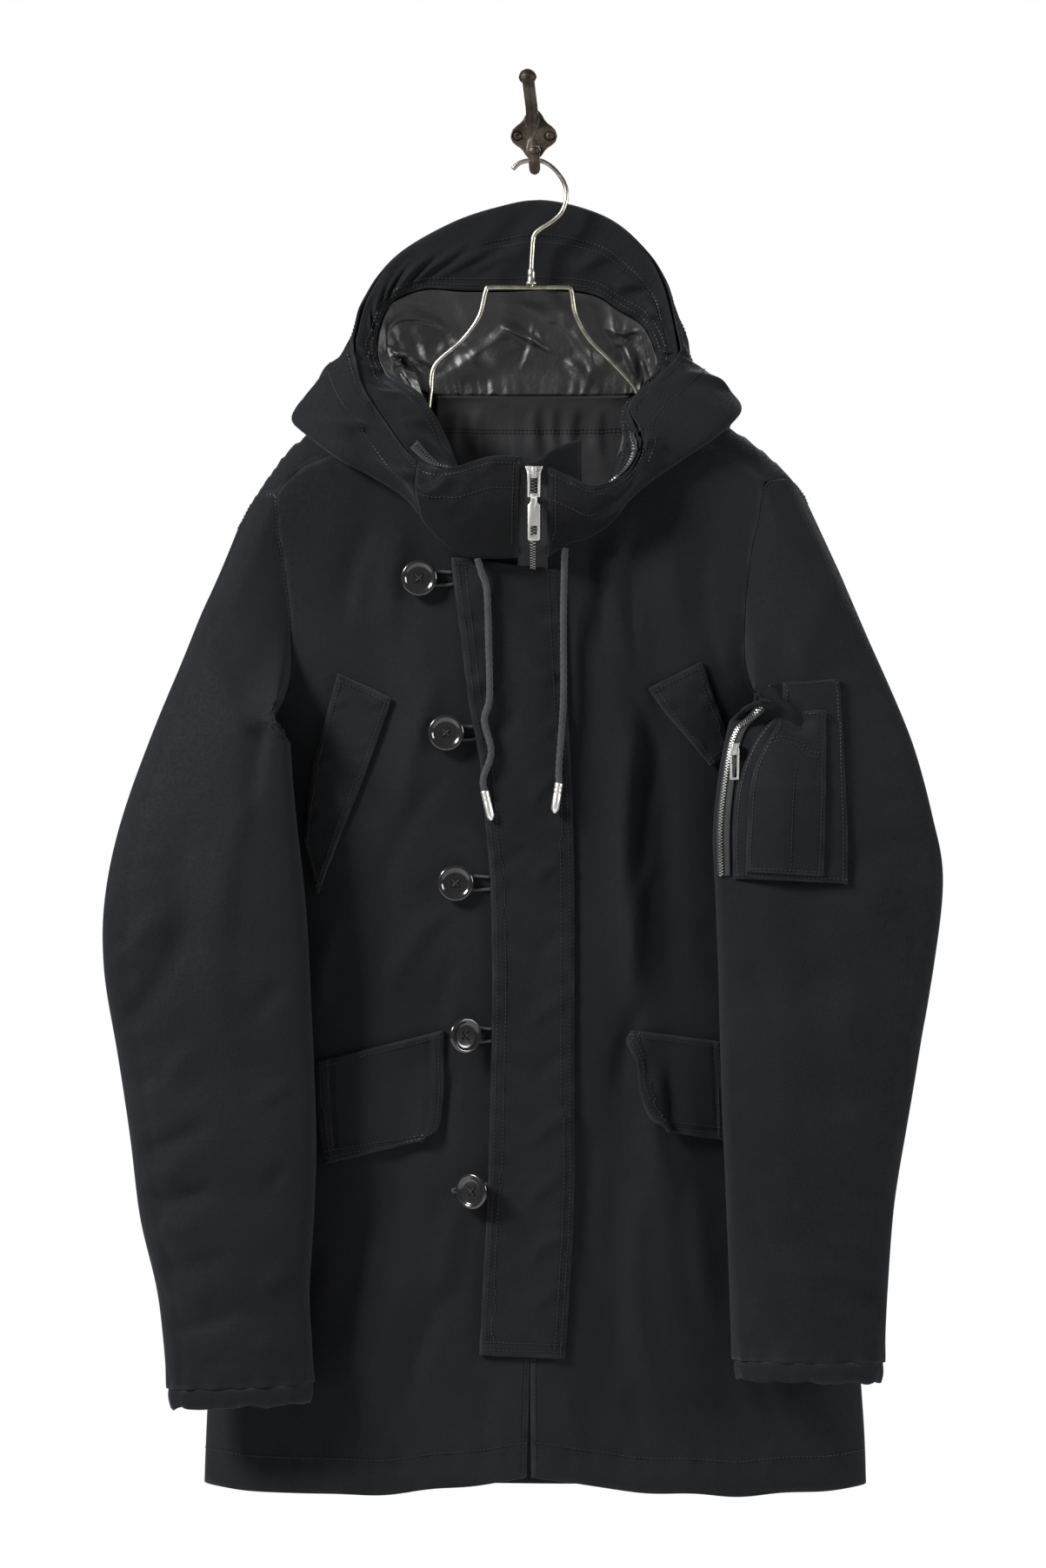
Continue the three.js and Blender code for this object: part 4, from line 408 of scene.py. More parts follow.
front_creases = np.array([                          # top x, top z, foot x, foot z, wide, out
    [66, -296, 92, -470, 6, -1.8], [78, -300, 100, -520, 7, 1.6], [88, -420, 84, -690, 7, -2.2],
    [97, -470, 92, -640, 5, 1.5], [92, -560, 78, -690, 5, -1.6], [46, -300, 60, -420, 8, 1.6],
    [110, -300, 118, -400, 9, -1.3], [132, -310, 152, -450, 9, 1.4], [84, -676, 68, -760, 7, 2.0],
    [96, -720, 104, -830, 8, -2.2], [116, -800, 138, -960, 10, 1.8], [84, -810, 96, -1000, 9, -1.8],
    [48, -760, 52, -930, 9, 1.4], [70, -960, 72, -1040, 9, -1.4], [160, -880, 182, -1030, 10, -1.6],
    [205, -840, 224, -1040, 11, 1.6], [28, -968, 40, -1040, 7, -1.2], [-52, -300, -44, -360, 7, 1.4],
    [-96, -300, -108, -420, 9, -1.4], [-120, -300, -150, -400, 9, 1.4], [-70, -420, -100, -560, 8, -1.5],
    [-66, -500, -120, -600, 7, 1.3], [-62, -600, -120, -690, 7, -1.3], [-56, -640, -74, -700, 6, 1.3],
    [-58, -720, -66, -820, 7, 1.5], [-48, -812, -70, -940, 8, -1.8], [-52, -880, -110, -1030, 9, 1.8],
    [-110, -840, -140, -1000, 10, -1.6], [-160, -850, -186, -1010, 10, 1.5],
    [-214, -820, -226, -1030, 11, -1.6], [-186, -600, -206, -760, 10, 1.5],
    [176, -560, 196, -760, 10, -1.5], [-150, -610, -166, -700, 9, -1.2], [140, -600, 156, -690, 9, 1.2],
    [-100, -956, -96, -1040, 8, -1.3], [-30, -962, -36, -1036, 6, 1.2]], float)
front_rows = np.array([                             # inner, inner z, right, right z, left, left z
    [0, -1045, 257, -1054, 259, -1055], [0, -1004, 255, -1005, 257, -1005], [0, -900, 249, -900, 249, -900],
    [0, -780, 243, -780, 241, -780], [0, -660, 235, -660, 231, -660], [0, -560, 228, -560, 220, -560],
    [0, -480, 222, -478, 207, -472], [0, -435, 202, -461, 181, -455], [0, -400, 188, -430, 164, -424],
    [0, -362, 188, -385, 163, -375], [8, -326, 193, -340, 168, -330], [52, -298, 198, -312, 174, -304],
    [94, -234, 199, -291, 178, -284]], float)
ARMPIT_ROW = 6


def place_of(rows, column, value):
    """Where in a table, in rows and parts of a row, one of its columns has a value."""
    keys = np.asarray(rows, float)[:, column]
    value = np.asarray(value, float)
    if keys[-1] < keys[0]:
        keys, value = -keys, -value
    return np.interp(value, keys, np.arange(len(keys)))


def round_off(distance, reach):
    """Rises from 0 at an edge to 1 as a quarter of a circle does."""
    left = 1 - np.clip(distance / reach, 0, 1)
    return np.sqrt(1 - left * left)


def folds_at(table, x, z):
    """The sum of soft folds. Each is a bell across its line, e to the minus twice the squared share of its
    width, that swells and fades along the line as a squared sine."""
    total = np.zeros(np.broadcast(x, z).shape)
    for top_x, top_z, foot_x, foot_z, wide, out in table:
        down = (top_z - z) / (top_z - foot_z)
        across = (x - top_x - (foot_x - top_x) * down) / wide
        fade = np.sin(np.pi * np.clip(down * 0.75 + 0.12, 0, 1)) ** 2
        total += out * fade * np.exp(-2 * across ** 2)
    return total


def creases_at(table, x, z):
    """The sum of sharper creases. Each has a steep side and a long side, and dies out at both its ends."""
    total = np.zeros(np.broadcast(x, z).shape)
    for top_x, top_z, foot_x, foot_z, wide, out in table:
        along = np.array([foot_x - top_x, foot_z - top_z], float)
        size = np.hypot(*along)
        along /= size
        down = ((x - top_x) * along[0] + (z - top_z) * along[1]) / size
        across = (x - top_x) * -along[1] + (z - top_z) * along[0] + 0.06 * size * np.sin(np.pi * down)
        steep = np.where(across > 0, 0.75, 1.35) * wide
        fade = np.clip(down * 4, 0, 1) * np.clip((1 - down) * 2.5, 0, 1)
        total += out * fade * fade * (3 - 2 * fade) * np.exp(-(across / steep) ** 2)
    return total


def ripple(along, pitch, seed):
    """An uneven wave of height 1 along a seam: three sines whose pitches don't divide one another."""
    turn = along * 2 * np.pi / pitch
    return (np.sin(turn + seed) + 0.7 * np.sin(turn / 1.63 + 2.1 * seed)
            + 0.5 * np.sin(turn / 0.71 + 3.7 * seed)) / 1.8


def wander(x, z, seed):
    """Broad unevenness of hanging cloth: three slow waves whose crests slant differently."""
    return (np.sin(x / 31 + z / 74 + seed) * np.sin(z / 83 - x / 120 + 2 * seed)
            + 0.8 * np.sin(x / 19 - z / 57 + 3 * seed) * np.sin(z / 118 + seed)
            + 0.5 * np.sin(x / 13 + z / 41 + 5 * seed) * np.sin(x / 90 + z / 66)) / 1.6


def ridge_level(x):
    """The level of the shoulder line above a place across."""
    return rows_at(shoulder_line, place_of(shoulder_line, 0, x))[..., 1]


def body_depth(x, z, face, folds):
    """How far back a face of the body lies: from the side seam's depth out to the face's own, rounded off
    towards the sides and the shoulder line, plus the folds."""
    level = rows_at(body_levels, place_of(body_levels, 0, z))
    half = np.where(x < 0, level[..., 1], level[..., 2])
    rounding = round_off(half - np.abs(x), 150) * round_off(ridge_level(x) - z, 40)
    return level[..., 3] + (level[..., face] - level[..., 3]) * rounding + folds * rounding


CREASE, WANDER = 1.9, 1.5


def hem_seam(x):
    """The level at which the hem is sewn, a little lower towards the sides."""
    return -1028.7 - 0.03 * np.abs(x)


def front_y(x, z):
    """The depth of the fronts' outer face at places seen from the front."""
    folds = folds_at(front_folds, x, z) + CREASE * creases_at(front_creases, x, z)
    folds = folds + WANDER * wander(x, z, 1.0)
    hem = hem_seam(x)
    folds = folds + 1.7 * ripple(x, 21, 1.0) * np.exp(-((z - hem) / 9) ** 2)
    folds = folds - 1.4 * np.exp(-((z - hem + 14) / 9) ** 2)
    side_seam = np.clip(1 - (np.where(x < 0, 252, 254) - np.abs(x)) / 22, 0, 1)
    folds = folds + 1.8 * side_seam * ripple(z, 34, 2.0) * (z < -620)
    return body_depth(x, z, 4, folds)


def grid_normals(grid, closed=False):
    """The cross product of a grid's directions up and across at each of its points."""
    up = np.gradient(grid, axis=0)
    across = (np.roll(grid, -1, 1) - np.roll(grid, 1, 1)) if closed else np.gradient(grid, axis=1)
    normal = np.cross(up, across)
    return normal / np.maximum(np.linalg.norm(normal, axis=-1, keepdims=True), 1e-9)


def facing_front(grid):
    """A grid's normals, on the side that faces the front."""
    normals = grid_normals(grid)
    return normals * np.sign(-normals[..., 1].mean())


def cloth(name, grid, normals, thickness, material, closed=False):
    """A cloth wall from a grid of its outer points: the inner points lie a thickness behind them, and a
    rounded strip joins the two round the rim. The flat pattern's place in millimetres is its UV map, and
    its attribute edge is the way to the nearest rim in metres."""
    rows, columns = grid.shape[:2]
    inner = grid - normals * thickness
    steps = columns if closed else columns - 1
    wrapped = np.concatenate([grid, grid[:, :1]], 1) if closed else grid
    across = np.concatenate([np.zeros((rows, 1)), np.cumsum(np.linalg.norm(
        np.diff(wrapped, axis=1), axis=2), 1)], 1)
    across -= across[:, across.shape[1] // 2][:, None]
    up = np.concatenate([np.zeros((1, wrapped.shape[1])), np.cumsum(np.linalg.norm(
        np.diff(wrapped, axis=0), axis=2), 0)], 0)
    flat = np.stack([across, up], -1)
    rim = np.minimum(up, up[-1] - up)
    if not closed:
        rim = np.minimum(rim, np.minimum(across - across[:, :1], across[:, -1:] - across))
    rim = rim[:, :columns]
    row, column = (part.ravel() for part in np.meshgrid(np.arange(rows - 1), np.arange(steps), indexing="ij"))
    at = lambda r, c: r * columns + c % columns
    quads = [(row, column), (row, column + 1), (row + 1, column + 1), (row + 1, column)]
    outer_faces = np.stack([at(r, c) for r, c in quads], -1)
    outer_flat = np.stack([flat[r, c] for r, c in quads], 1)
    inner_faces = outer_faces[:, ::-1] + rows * columns
    faces, corners = [outer_faces, inner_faces], [outer_flat, outer_flat[:, ::-1]]
    points = [grid.reshape(-1, 3), inner.reshape(-1, 3)]
    edge = [rim.ravel(), rim.ravel()]
    turns = np.arange(columns)
    if closed:
        loops = [(turns * 0, turns, turns * 0 + 1, turns),
                 (turns * 0 + rows - 1, turns[::-1], turns * 0 + rows - 2, turns[::-1])]
    else:
        loop_r = np.concatenate([np.zeros(columns - 1), np.arange(rows - 1), np.full(columns - 1, rows - 1),
                                 np.arange(rows - 1, 0, -1)]).astype(int)
        loop_c = np.concatenate([np.arange(columns - 1), np.full(rows - 1, columns - 1),
                                 np.arange(columns - 1, 0, -1), np.zeros(rows - 1)]).astype(int)
        loops = [(loop_r, loop_c, np.clip(loop_r, 1, rows - 2), np.clip(loop_c, 1, columns - 2))]
    start = 2 * rows * columns
    for loop_r, loop_c, near_r, near_c in loops:
        count = len(loop_r)
        away = grid[loop_r, loop_c] - grid[near_r, near_c]
        away /= np.maximum(np.linalg.norm(away, axis=1, keepdims=True), 1e-9)
        middle = (grid[loop_r, loop_c] + inner[loop_r, loop_c]) / 2 + away * thickness * 0.3
        points.append(middle)
        edge.append(np.zeros(count))
        here = np.arange(count)
        after = (here + 1) % count
        out_here, in_here = at(loop_r, loop_c), at(loop_r, loop_c) + rows * columns
        mid = start + here
        faces.append(np.stack([out_here, mid, mid[after], out_here[after]], -1))
        faces.append(np.stack([mid, in_here, in_here[after], mid[after]], -1))
        place = flat[loop_r, loop_c]
        corners += [np.stack([place, place, place[after], place[after]], 1)] * 2
        start += count
    return mesh_piece(name, np.concatenate(points), np.concatenate(faces), np.concatenate(corners), material,
                      np.concatenate(edge) / 1000)


def sew(name, node, grid, normals, thickness, material, slot, held, rests_on, closed=False):
    """A cloth piece that takes the place of its node."""
    made = cloth(name, grid, normals, thickness, material, closed)
    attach(made, "coat")
    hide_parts(node)
    return made


# Twill: fine slanting ribs over threads, the way cotton drill is woven
ribs, ribs_in, ribs_out = new_group(
    "ribs", [("Vector", "NodeSocketVector", None), ("Scale", "NodeSocketFloat", 300.0)],
    [("Height", "NodeSocketFloat")])
wave = ribs.nodes.new("ShaderNodeTexWave")
wave.bands_direction = "DIAGONAL"
wave.inputs["Distortion"].default_value = 0.6
wave.inputs["Detail"].default_value = 1
ribs.links.new(ribs_in.outputs["Vector"], wave.inputs["Vector"])
ribs.links.new(ribs_in.outputs["Scale"], wave.inputs["Scale"])
ribs.links.new(wave.outputs["Fac"], ribs_out.inputs["Height"])


def twill_look(name, dark, light, worn, rough):
    """Twill: mottled between two tones and paler where its rims are rubbed, with ribs, tooth and fine
    creases."""
    made, tree, shader = look(name, "twill")
    uv, place = coords(tree, "UV"), coords(tree, "Object")
    cloud, tooth = add_mottle(tree, place, 7, 420)
    body = blend_colour(tree, ramp(tree, cloud, 0.3, 0.7), dark, light)
    rim = tree.nodes.new("ShaderNodeAttribute")
    rim.attribute_name = "edge"
    rub = ramp(tree, rim.outputs["Fac"], 0.0, 0.004, 1.0, 0.0)
    rub = maths(tree, "MULTIPLY", rub, ramp(tree, noise(tree, place, 45), 0.35, 0.7))
    tree.links.new(blend_colour(tree, rub, body, worn), shader.inputs["Base Color"])
    tree.links.new(ramp(tree, tooth, 0.3, 0.7, rough - 0.06, rough + 0.08), shader.inputs["Roughness"])
    shader.inputs["Specular IOR Level"].default_value = 0.13
    shader.inputs["Sheen Weight"].default_value = 0.065
    shader.inputs["Sheen Roughness"].default_value = 0.45
    shader.inputs["Sheen Tint"].default_value = (0.72, 0.8, 0.95, 1)
    weave = tree.nodes.new("ShaderNodeGroup")
    weave.node_tree = ribs
    weave.inputs["Scale"].default_value = 420
    tree.links.new(uv, weave.inputs["Vector"])
    fine = maths(tree, "MULTIPLY", weave.outputs["Height"], 0.10)
    fine = maths(tree, "MULTIPLY_ADD", tooth, 0.10, fine)
    fine = maths(tree, "MULTIPLY_ADD", noise(tree, place, 26, 3.0, 0.5), 1.5, fine)
    fine = maths(tree, "MULTIPLY_ADD", noise(tree, place, 90, 2.0, 0.5), 0.35, fine)
    bump(tree, shader, fine, 0.0011)
    return made


twill = twill_look(
    "black_twill", (0.0048, 0.0053, 0.0064), (0.0076, 0.0082, 0.0096), (0.016, 0.0168, 0.019), 0.78)


def finer_places(rows, column, step):
    """Places in a table that are a step apart in one of its columns."""
    run = np.concatenate([[0], np.cumsum(np.abs(np.diff(rows[:, column])))])
    return np.interp(np.linspace(0, run[-1], int(run[-1] / step) + 1), run, np.arange(len(rows)))


def front_grid(side):
    """A front: rows from the opening's edge to the side seam or armhole, closer together towards it. Where
    the placket ends, the two edges draw a little apart down to the hem."""
    places = finer_places(front_rows, 3 if side < 0 else 5, 5.2)
    row = rows_at(front_rows, places)[:, None]
    last = len(front_rows) - 1
    outer, outer_z = (row[..., 2], row[..., 3]) if side < 0 else (row[..., 4], row[..., 5])
    across = 1 - (1 - np.linspace(0, 1, 62)[None]) ** 1.5
    place = places[:, None]
    apart = np.clip((-950 - row[..., 1]) / 95, 0, 1) * (3.2 if side < 0 else 1.2)
    inner_x = CENTRE + side * (row[..., 0] + SEAM + apart)
    x = inner_x + (side * outer - inner_x) * across
    z = row[..., 1] + (outer_z - row[..., 1]) * across
    z = z - HEM_SAG * np.sin(np.pi * across) * np.maximum(1 - place, 0)
    z = z + 2.2 * ripple(x, 95, 0.6) * np.sin(np.pi * across) * np.clip(1 - place, 0, 1)
    seam = ridge_level(x) - SEAM_DROP - 2 * SEAM
    z = z + (seam - z) * np.maximum(place - last + 1, 0)
    return np.stack([x, front_y(x, z), z], -1), places


fronts = {}
for side, name in ((-1, "right"), (1, "left")):
    grid, places = front_grid(side)
    normals = facing_front(grid)
    below = places <= ARMPIT_ROW
    normals[below, -1] = (side, 0, 0)
    grid[below, -1, 1] -= SEAM / 2
    fronts[name] = (grid, normals, places)
    sew(f"front_panel_{name}", f"front_{name}", grid, normals, CLOTH, twill, "twill", "hung", ["hanger"])

# Back
# One wide piece that goes up over the hanger and a hand's breadth down in front, to the shoulder seams.
# The neck is cut low between the shoulders, and the hood is sewn round it.
back_folds = np.array([
    [-60, -380, -80, -1060, 34, -4], [20, -360, 30, -1060, 34, -4], [110, -420, 120, -1060, 36, -4],
    [-150, -430, -170, -1060, 36, -3]], float)
back_creases = np.array([
    [-20, -360, -46, -620, 9, -1.8], [60, -380, 74, -640, 9, 1.8], [-110, -420, -130, -760, 10, 1.8],
    [150, -470, 168, -760, 10, -1.8], [-186, -500, -206, -820, 11, -1.6], [196, -560, 214, -860, 11, 1.7],
    [-40, -640, -30, -940, 10, 1.8], [46, -700, 58, -1010, 10, -1.8], [96, -760, 120, -1030, 11, 1.9],
    [-96, -800, -124, -1040, 11, -1.9], [-176, -860, -196, -1040, 11, 1.6], [0, -860, 8, -1040, 10, 1.5],
    [-150, -300, -120, -400, 10, -1.6], [140, -300, 116, -410, 10, 1.6], [-70, -340, -64, -470, 9, 1.3],
    [-180, -470, -110, -540, 9, -1.6], [176, -466, 110, -540, 9, 1.6]], float)
back_rows = np.array([                              # right, right z, left, left z
    [257, -1054, 259, -1055], [255, -1005, 257, -1005], [249, -900, 249, -900], [243, -780, 241, -780],
    [235, -660, 231, -660], [228, -560, 220, -560], [222, -478, 207, -472], [204, -458, 185, -452],
    [195, -425, 174, -418], [197, -375, 177, -365], [208, -336, 191, -320], [222, -314, 204, -299],
    [230, -308, 213, -287], [219, -284, 202, -268], [209, -259, 190, -242], [199, -229, 178, -216]], float)
TIP_ROW = 12
NECK_WIDE, NECK_TURN, BACK_NECK = 98.0, 12.0, -209.0


def back_surface(x, height):
    """The outer face of the back. A height above the shoulder line stands for cloth that has gone over it,
    and lies as far below the line in front."""
    ridge = ridge_level(x)
    over = height > ridge
    z = np.where(over, 2 * ridge - height, height)
    hem = hem_seam(x)
    folds = folds_at(back_folds, x, z) + CREASE * creases_at(back_creases, x, z) + WANDER * wander(x, z, 2.0)
    folds = folds - 1.7 * ripple(x, 21, 3.0) * np.exp(-((z - hem) / 9) ** 2)
    folds = folds + 1.2 * np.exp(-((z - hem + 14) / 9) ** 2)
    behind = body_depth(x, z, 5, folds)
    return np.stack([x, np.where(over, front_y(x, z), behind), z], -1)


def back_grid():
    """The back: rows from side to side, from the hem up. Its top edge runs down to the neck in the middle."""
    places = finer_places(back_rows, 1, 5.0)
    places = np.unique(np.concatenate([places, [TIP_ROW]]))
    row = rows_at(back_rows, places)[:, None]
    last = len(back_rows) - 1
    part = np.linspace(0, 1, 111)[None]
    across = part - np.sin(2 * np.pi * part) / 14
    straight = back_rows[last, 1] + (back_rows[last, 3] - back_rows[last, 1]) * across
    top_x = -back_rows[last, 0] + (back_rows[last, 2] + back_rows[last, 0]) * across
    share = np.clip((np.abs(top_x) - NECK_WIDE + NECK_TURN) / NECK_TURN, 0, 1)
    over = ridge_level(top_x) + SEAM_DROP
    top = BACK_NECK + (over - BACK_NECK) * share * share * (3 - 2 * share)
    lift = (places[:, None] / last) ** 3
    sag = HEM_SAG * 0.6 * np.sin(np.pi * across) * np.maximum(1 - places[:, None], 0)
    x = -row[..., 0] + (row[..., 2] + row[..., 0]) * across
    height = row[..., 1] + (row[..., 3] - row[..., 1]) * across + lift * (top - straight) - sag
    return back_surface(x, height), places


grid, back_places = back_grid()
normals = -grid_normals(grid)
normals *= np.sign(normals[: len(normals) // 2, :, 1].mean())
below = back_places <= ARMPIT_ROW
for column, way in ((0, -1), (-1, 1)):
    normals[below, column] = (way, 0, 0)
    grid[below, column, 1] += SEAM / 2
back = (grid, normals)
sew("back_panel", "back", grid, normals, CLOTH, twill, "twill", "hung", ["hanger"])

# Sleeves
# Each sleeve is a tube of the same twill, set into the armhole and hanging a little in front of the side
# seam. The cloth breaks at the elbow and down the forearm, and a seam runs down the outer side.
sleeve_rows = {                                     # outer x y z, inner x y z, half
    "right": np.array([
        [-283, -68, -440, -186, -97, -478, 24], [-310, -84, -512, -182, -101, -536, 25],
        [-328, -92, -589, -176, -103, -602, 25], [-330, -95, -650, -172, -104, -660, 25],
        [-320, -96, -718, -169, -104, -722, 25], [-309, -96, -785, -168, -104, -788, 25],
        [-301, -96, -842, -170, -103, -846, 24], [-289, -96, -895, -173, -102, -898, 23],
        [-284, -96, -935, -171, -101, -934, 22], [-281, -96, -973, -169, -100, -968, 21]], float),
    "left": np.array([
        [272, -68, -428, 150, -98, -462, 24], [293, -84, -482, 141, -102, -502, 25],
        [307, -92, -535, 136, -104, -547, 25], [314, -95, -582, 138, -105, -590, 25],
        [306, -96, -649, 141, -105, -655, 25], [296, -96, -709, 143, -105, -715, 25],
        [286, -96, -779, 145, -104, -780, 24], [276, -96, -839, 147, -103, -840, 23],
        [271, -96, -895, 150, -102, -897, 22], [268, -96, -953, 153, -101, -950, 21]], float),
}
elbow_creases = np.array([[2.6, 2.5], [4.2, 3], [5.6, 3], [7.4, 3]])      # place, depth
UNDERARM_OUT = 38.0
OUTER_SEAM = 0.72                                   # its turn round the sleeve
sleeve_creases = {                                  # top x, top z, foot x, foot z, wide, out
    "right": np.array([
        [-262, -330, -216, -480, 9, 1.8], [-286, -420, -224, -470, 8, -1.5],
        [-198, -440, -212, -560, 7, -2.2], [-206, -500, -240, -640, 9, 1.8],
        [-318, -700, -262, -600, 9, -2.4], [-326, -650, -280, -596, 7, 1.8],
        [-312, -752, -250, -700, 8, 2.2], [-306, -740, -272, -726, 6, -2.0],
        [-304, -790, -240, -760, 7, -2.4], [-300, -806, -262, -802, 6, 2.0],
        [-296, -830, -236, -812, 6, -2.4], [-294, -850, -250, -842, 6, 2.2],
        [-288, -878, -228, -866, 7, -2.2], [-284, -900, -240, -896, 6, 2.0],
        [-282, -926, -220, -908, 6, -2.2], [-186, -660, -220, -700, 7, -1.6],
        [-184, -740, -216, -760, 6, 1.5], [-184, -800, -206, -824, 6, -1.6],
        [-184, -880, -208, -900, 6, 1.6], [-262, -520, -250, -700, 12, -1.5],
        [-230, -560, -224, -760, 12, 1.5], [-186, -948, -216, -936, 5, 1.5],
        [-258, -952, -226, -944, 5, -1.5]], float),
    "left": np.array([
        [244, -330, 196, -470, 9, 1.8], [264, -400, 214, -440, 8, -1.4], [168, -430, 180, -540, 7, -1.4],
        [296, -640, 250, -600, 9, -2.0], [300, -700, 246, -640, 9, 2.0], [288, -740, 236, -700, 8, -1.9],
        [282, -790, 226, -760, 8, 1.8], [278, -846, 220, -812, 7, -2.0], [270, -880, 214, -856, 7, 2.0],
        [268, -918, 208, -890, 6, -2.4], [262, -936, 212, -912, 6, 2.2], [160, -640, 196, -700, 8, -1.6],
        [158, -740, 190, -790, 8, 1.5], [160, -820, 186, -870, 7, -1.5], [164, -900, 196, -926, 6, 1.8],
        [164, -930, 190, -944, 5, -1.6], [236, -620, 232, -800, 12, -1.4], [200, -620, 204, -840, 12, 1.4],
        [276, -560, 262, -640, 9, 1.5]], float),
}


def sleeve_point(row, turn, shrink=0.0):
    """A section's point at a turn: its middle, plus half its width times the cosine, plus its half depth
    towards the front times the sine to the power 0.85."""
    outer, inner = row[..., 0:3], row[..., 3:6]
    half = (outer - inner) / 2
    middle = outer - half
    size = np.linalg.norm(half, axis=-1, keepdims=True)
    half = half * (size - shrink) / size
    sine = np.sin(turn)
    deep = np.sign(sine) * np.abs(sine) ** 0.85 * (row[..., 6] - shrink)
    point = middle + half * np.cos(turn)[..., None]
    return point - np.stack([0 * deep, deep, 0 * deep], -1)


def armhole(name, side):
    """The armhole's edge, from the shoulder's tip down the front to the armpit and up the back again, as
    points, cloth normals and neighbours further in."""
    front, front_normals, front_places = fronts[name]
    grid, normals = back
    column, beside = (0, 1) if side < 0 else (-1, -2)
    tip = int(np.searchsorted(back_places, TIP_ROW))
    armpit = int(np.argmin(np.abs(front_places - ARMPIT_ROW)))
    under = int(np.argmin(np.abs(back_places - ARMPIT_ROW)))
    over = np.arange(tip, len(back_places))
    down = np.arange(len(front_places) - 2, armpit - 1, -1)
    rise = np.arange(under + 1, tip)
    points = np.concatenate([grid[over, column], front[down, -1], grid[rise, column]])
    inside = np.concatenate([grid[over, beside], front[down, -2], grid[rise, beside]])
    facing = np.concatenate([normals[over, column], front_normals[down, -1], normals[rise, column]])
    low = len(over) + len(down) - 1
    inside[low] = front[armpit - 1, -1]
    return points, facing, inside, low


def facing_out(grid):
    """A tube's normals, on the side away from the middle of each of its rings."""
    normals = grid_normals(grid, True)
    return normals * np.sign((normals * (grid - grid.mean(1, keepdims=True))).sum(-1, keepdims=True))


def sleeve_grid(name, side):
    """The sleeve's rings: the first follow the armhole's edge and turn by degrees into the first section,
    with the cloth under the arm standing out in front, and the others are the sections."""
    edge, facing, inside, low = armhole(name, side)
    step = np.linalg.norm(np.diff(np.concatenate([edge, edge[:1]]), axis=0), axis=1)
    run = np.concatenate([[0], np.cumsum(step)])
    turns = np.where(np.arange(len(edge)) <= low, np.pi * run[:-1] / run[low],
                     np.pi + np.pi * (run[:-1] - run[low]) / (run[-1] - run[low]))
    along = np.roll(edge, -1, 0) - np.roll(edge, 1, 0)
    away = np.cross(along, facing)
    away /= np.linalg.norm(away, axis=1, keepdims=True)
    away *= np.sign((away * (edge - inside)).sum(1, keepdims=True))
    edge = edge + away * 2 * SEAM
    even_turns = np.linspace(0, 2 * np.pi, 73)[:-1]
    wrap_turns = np.concatenate([turns, [2 * np.pi]])
    ring = np.concatenate([edge, edge[:1]])
    edge = np.stack([np.interp(even_turns, wrap_turns, ring[:, k]) for k in range(3)], -1)
    faced = np.concatenate([facing, facing[:1]])
    facing = np.stack([np.interp(even_turns, wrap_turns, faced[:, k]) for k in range(3)], -1)
    rows = sleeve_rows[name]
    part = np.linspace(0, 1, 20)[:-1, None, None] ** 1.2
    first = sleeve_point(rows_at(rows, np.zeros(1)), even_turns)
    head = edge[None] * (1 - part) + first[None] * part
    under = np.maximum(-np.cos(even_turns), 0)[None] ** 2 * np.sqrt(np.sin(np.pi * part[..., 0]))
    under = under * UNDERARM_OUT
    head = head + np.stack([side * under * 0.1, -under, under * 0.35], -1)
    places = finer_places(rows, 2, 4.6)
    row = rows_at(rows, places)[:, None]
    for place, depth in elbow_creases:
        row[..., 6] -= depth * np.exp(-((places[:, None] - place) / 0.35) ** 2)
    grid = np.concatenate([head, sleeve_point(row, even_turns[None])])
    normals = facing_out(grid)
    x, z = grid[..., 0], grid[..., 2]
    front = np.clip(np.sin(even_turns)[None] * 2, 0, 1)
    rear = np.clip(-np.sin(even_turns)[None] * 2, 0, 1)
    table = sleeve_creases[name]
    behind = table * [1, 1, 1, 1, 1, -1.4] + [6, -26, 6, -26, 0, 0]
    out = creases_at(table, x, z) * 1.6 * front - creases_at(behind, x, z) * rear
    out = out + 1.5 * wander(x + 60 * np.cos(even_turns)[None], z, 3.0 + side)
    fade = np.clip(np.arange(len(grid)) / 14, 0, 1)[:, None]
    from_seam = (even_turns - OUTER_SEAM)[None]
    out = out - 0.9 * np.exp(-(from_seam / 0.05) ** 2) * fade
    out = out + 0.8 * np.exp(-(from_seam / 0.3) ** 2) * ripple(z, 27, 1.3)
    cuff = np.exp(-((z - z[-1:]) / 12) ** 2)
    out = out + 1.1 * cuff * ripple(even_turns[None] * 40, 15, 0.4)
    grid = grid + normals * (out * fade)[..., None]
    normals = facing_out(grid)
    normals[0] = facing / np.linalg.norm(facing, axis=1, keepdims=True)
    return grid, normals


sleeves = {}
for side, name in ((-1, "right"), (1, "left")):
    sleeves[name] = sleeve_grid(name, side)
    sew(f"sleeve_tube_{name}", f"sleeve_{name}", *sleeves[name], CLOTH, twill, "twill", "hung", ["back"],
        True)

